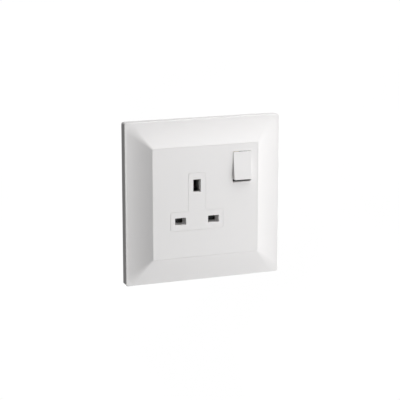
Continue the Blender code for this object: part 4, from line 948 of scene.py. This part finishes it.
def spring(name, sizes, length, place, body, node):
    """A coil from place's origin along its Z."""
    bm = bmesh.new()
    coil(bm, sizes["radius"], sizes["wire"], sizes["turns"], length, place)
    made = piece(name, bm, "spring_steel", body, [node])
    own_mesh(made)


def springs():
    low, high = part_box("shutter_spring")
    foot = Matrix.Translation(((low.x + high.x) / 2, (low.y + high.y) / 2, low.z))
    spring(
        "shutter_return_spring",
        SHUTTER_SPRING,
        high.z - low.z,
        foot,
        "mechanism",
        "shutter_spring",
    )
    start = Matrix.Translation((0, SEAT_GAP - GUIDE_BLIND, 0))
    foot = rocker_local() @ start @ Matrix.Rotation(math.radians(-90), 4, "X")
    spring(
        "plunger_coil_spring",
        PLUNGER_SPRING,
        PLUNGER_SPRING_LENGTH,
        foot,
        "rocker_body",
        "plunger_spring",
    )


# Pieces that keep the CAD's form and gain rounded edges


def refined(node, name, material, body, edge, slot=None):
    """The CAD node's own form with rounded edges, as a new piece."""
    bm = bmesh.new()
    bm.from_mesh(frame["nodes"][node].data)
    bmesh.ops.remove_doubles(bm, verts=bm.verts, dist=CAD_WELD)
    bmesh.ops.dissolve_limit(bm, angle_limit=CAD_FLAT, verts=bm.verts[:], edges=bm.edges[:])
    edges = [e for e in bm.edges if len(e.link_faces) == 2 and e.calc_face_angle(0) > CAD_SHARP]
    bmesh.ops.bevel(
        bm,
        geom=edges,
        offset=edge,
        segments=BEVEL_STEPS,
        profile=0.5,
        affect="EDGES",
        clamp_overlap=False,
    )
    bmesh.ops.triangulate(bm, faces=[f for f in bm.faces if len(f.verts) > 4])
    piece(name, bm, material, body, [node])


def inner_pieces():
    for row in REFINED:
        refined(*row)


# Stage, light and camera


def direction(azimuth, elevation):
    """The unit vector towards a place in front of the wall, from its angles in degrees."""
    a, e = math.radians(azimuth), math.radians(elevation)
    return Vector((math.sin(a) * math.cos(e), -math.cos(a) * math.cos(e), math.sin(e)))


def backdrop_material():
    made = bpy.data.materials.new("white_backdrop")
    made.use_nodes = True
    nodes, links = made.node_tree.nodes, made.node_tree.links
    nodes.clear()
    glow = nodes.new("ShaderNodeEmission")
    paper = noise(nodes, links, PAPER_SCALE, 2)
    low, high = ([white] * 3 for white in PAPER_WHITES)
    links.new(ramp(nodes, links, paper.outputs["Fac"], low, high), glow.inputs["Color"])
    out = nodes.new("ShaderNodeOutputMaterial")
    links.new(glow.outputs["Emission"], out.inputs["Surface"])
    return made


def backdrop():
    """A seamless white studio: a pale floor that curves up into walls and a ceiling all round."""
    profile = [(STUDIO_RADIUS - STUDIO_BEND, FLOOR_Z)]
    profile += [
        (STUDIO_RADIUS - STUDIO_BEND * (1 - math.sin(a)), FLOOR_Z + STUDIO_BEND * (1 - math.cos(a)))
        for a in quarter(12)[1:]
    ]
    profile += [
        (STUDIO_RADIUS * math.cos(a), STUDIO_HEIGHT + STUDIO_DOME * math.sin(a)) for a in quarter(8)
    ]
    bm = bmesh.new()
    rings = []
    for reach, z in profile:
        angles = [2 * math.pi * i / STUDIO_STEPS for i in range(STUDIO_STEPS)]
        rings.append([bm.verts.new((reach * math.cos(a), reach * math.sin(a), z)) for a in angles])
    for near, far in zip(rings, rings[1:]):
        strip(bm, near, far)
    bm.faces.new(rings[0])
    bmesh.ops.remove_doubles(bm, verts=bm.verts, dist=STUDIO_WELD)
    mesh = bpy.data.meshes.new("backdrop")
    bm.to_mesh(mesh)
    bm.free()
    mesh.shade_smooth()
    mesh.materials.append(backdrop_material())
    made = bpy.data.objects.new("backdrop", mesh)
    bpy.context.scene.collection.objects.link(made)
    made.visible_diffuse = False
    made.visible_glossy = False
    made.visible_shadow = False
    made.visible_transmission = False


def lights():
    for name, (azimuth, elevation, distance, width, height, power) in LIGHTS.items():
        data = bpy.data.lights.new(name, "AREA")
        data.shape = "RECTANGLE"
        data.size, data.size_y = width, height
        data.energy = power
        made = bpy.data.objects.new(name + "_light", data)
        away = direction(azimuth, elevation)
        made.location = away * distance
        made.rotation_mode = "QUATERNION"
        made.rotation_quaternion = away.to_track_quat("Z", "Y")
        made.visible_camera = False
        bpy.context.scene.collection.objects.link(made)


def world():
    made = bpy.data.worlds.new("studio")
    made.use_nodes = True
    made.node_tree.nodes["Background"].inputs["Color"].default_value = (*[WORLD_GREY] * 3, 1)
    bpy.context.scene.world = made


def camera():
    data = bpy.data.cameras.new("camera")
    data.lens, data.sensor_width = LENS, SENSOR
    made = bpy.data.objects.new("camera", data)
    made.location = direction(CAMERA_AZIMUTH, CAMERA_ELEVATION) * CAMERA_DISTANCE
    made.rotation_mode = "QUATERNION"
    made.rotation_quaternion = direction(CAMERA_AZIMUTH, CAMERA_TILT).to_track_quat("Z", "Y")
    bpy.context.scene.collection.objects.link(made)
    bpy.context.scene.camera = made


camera()
surround()
cover()
rocker()
screws()
springs()
inner_pieces()
backdrop()
lights()
world()
bpy.context.scene.view_settings.view_transform = "Standard"
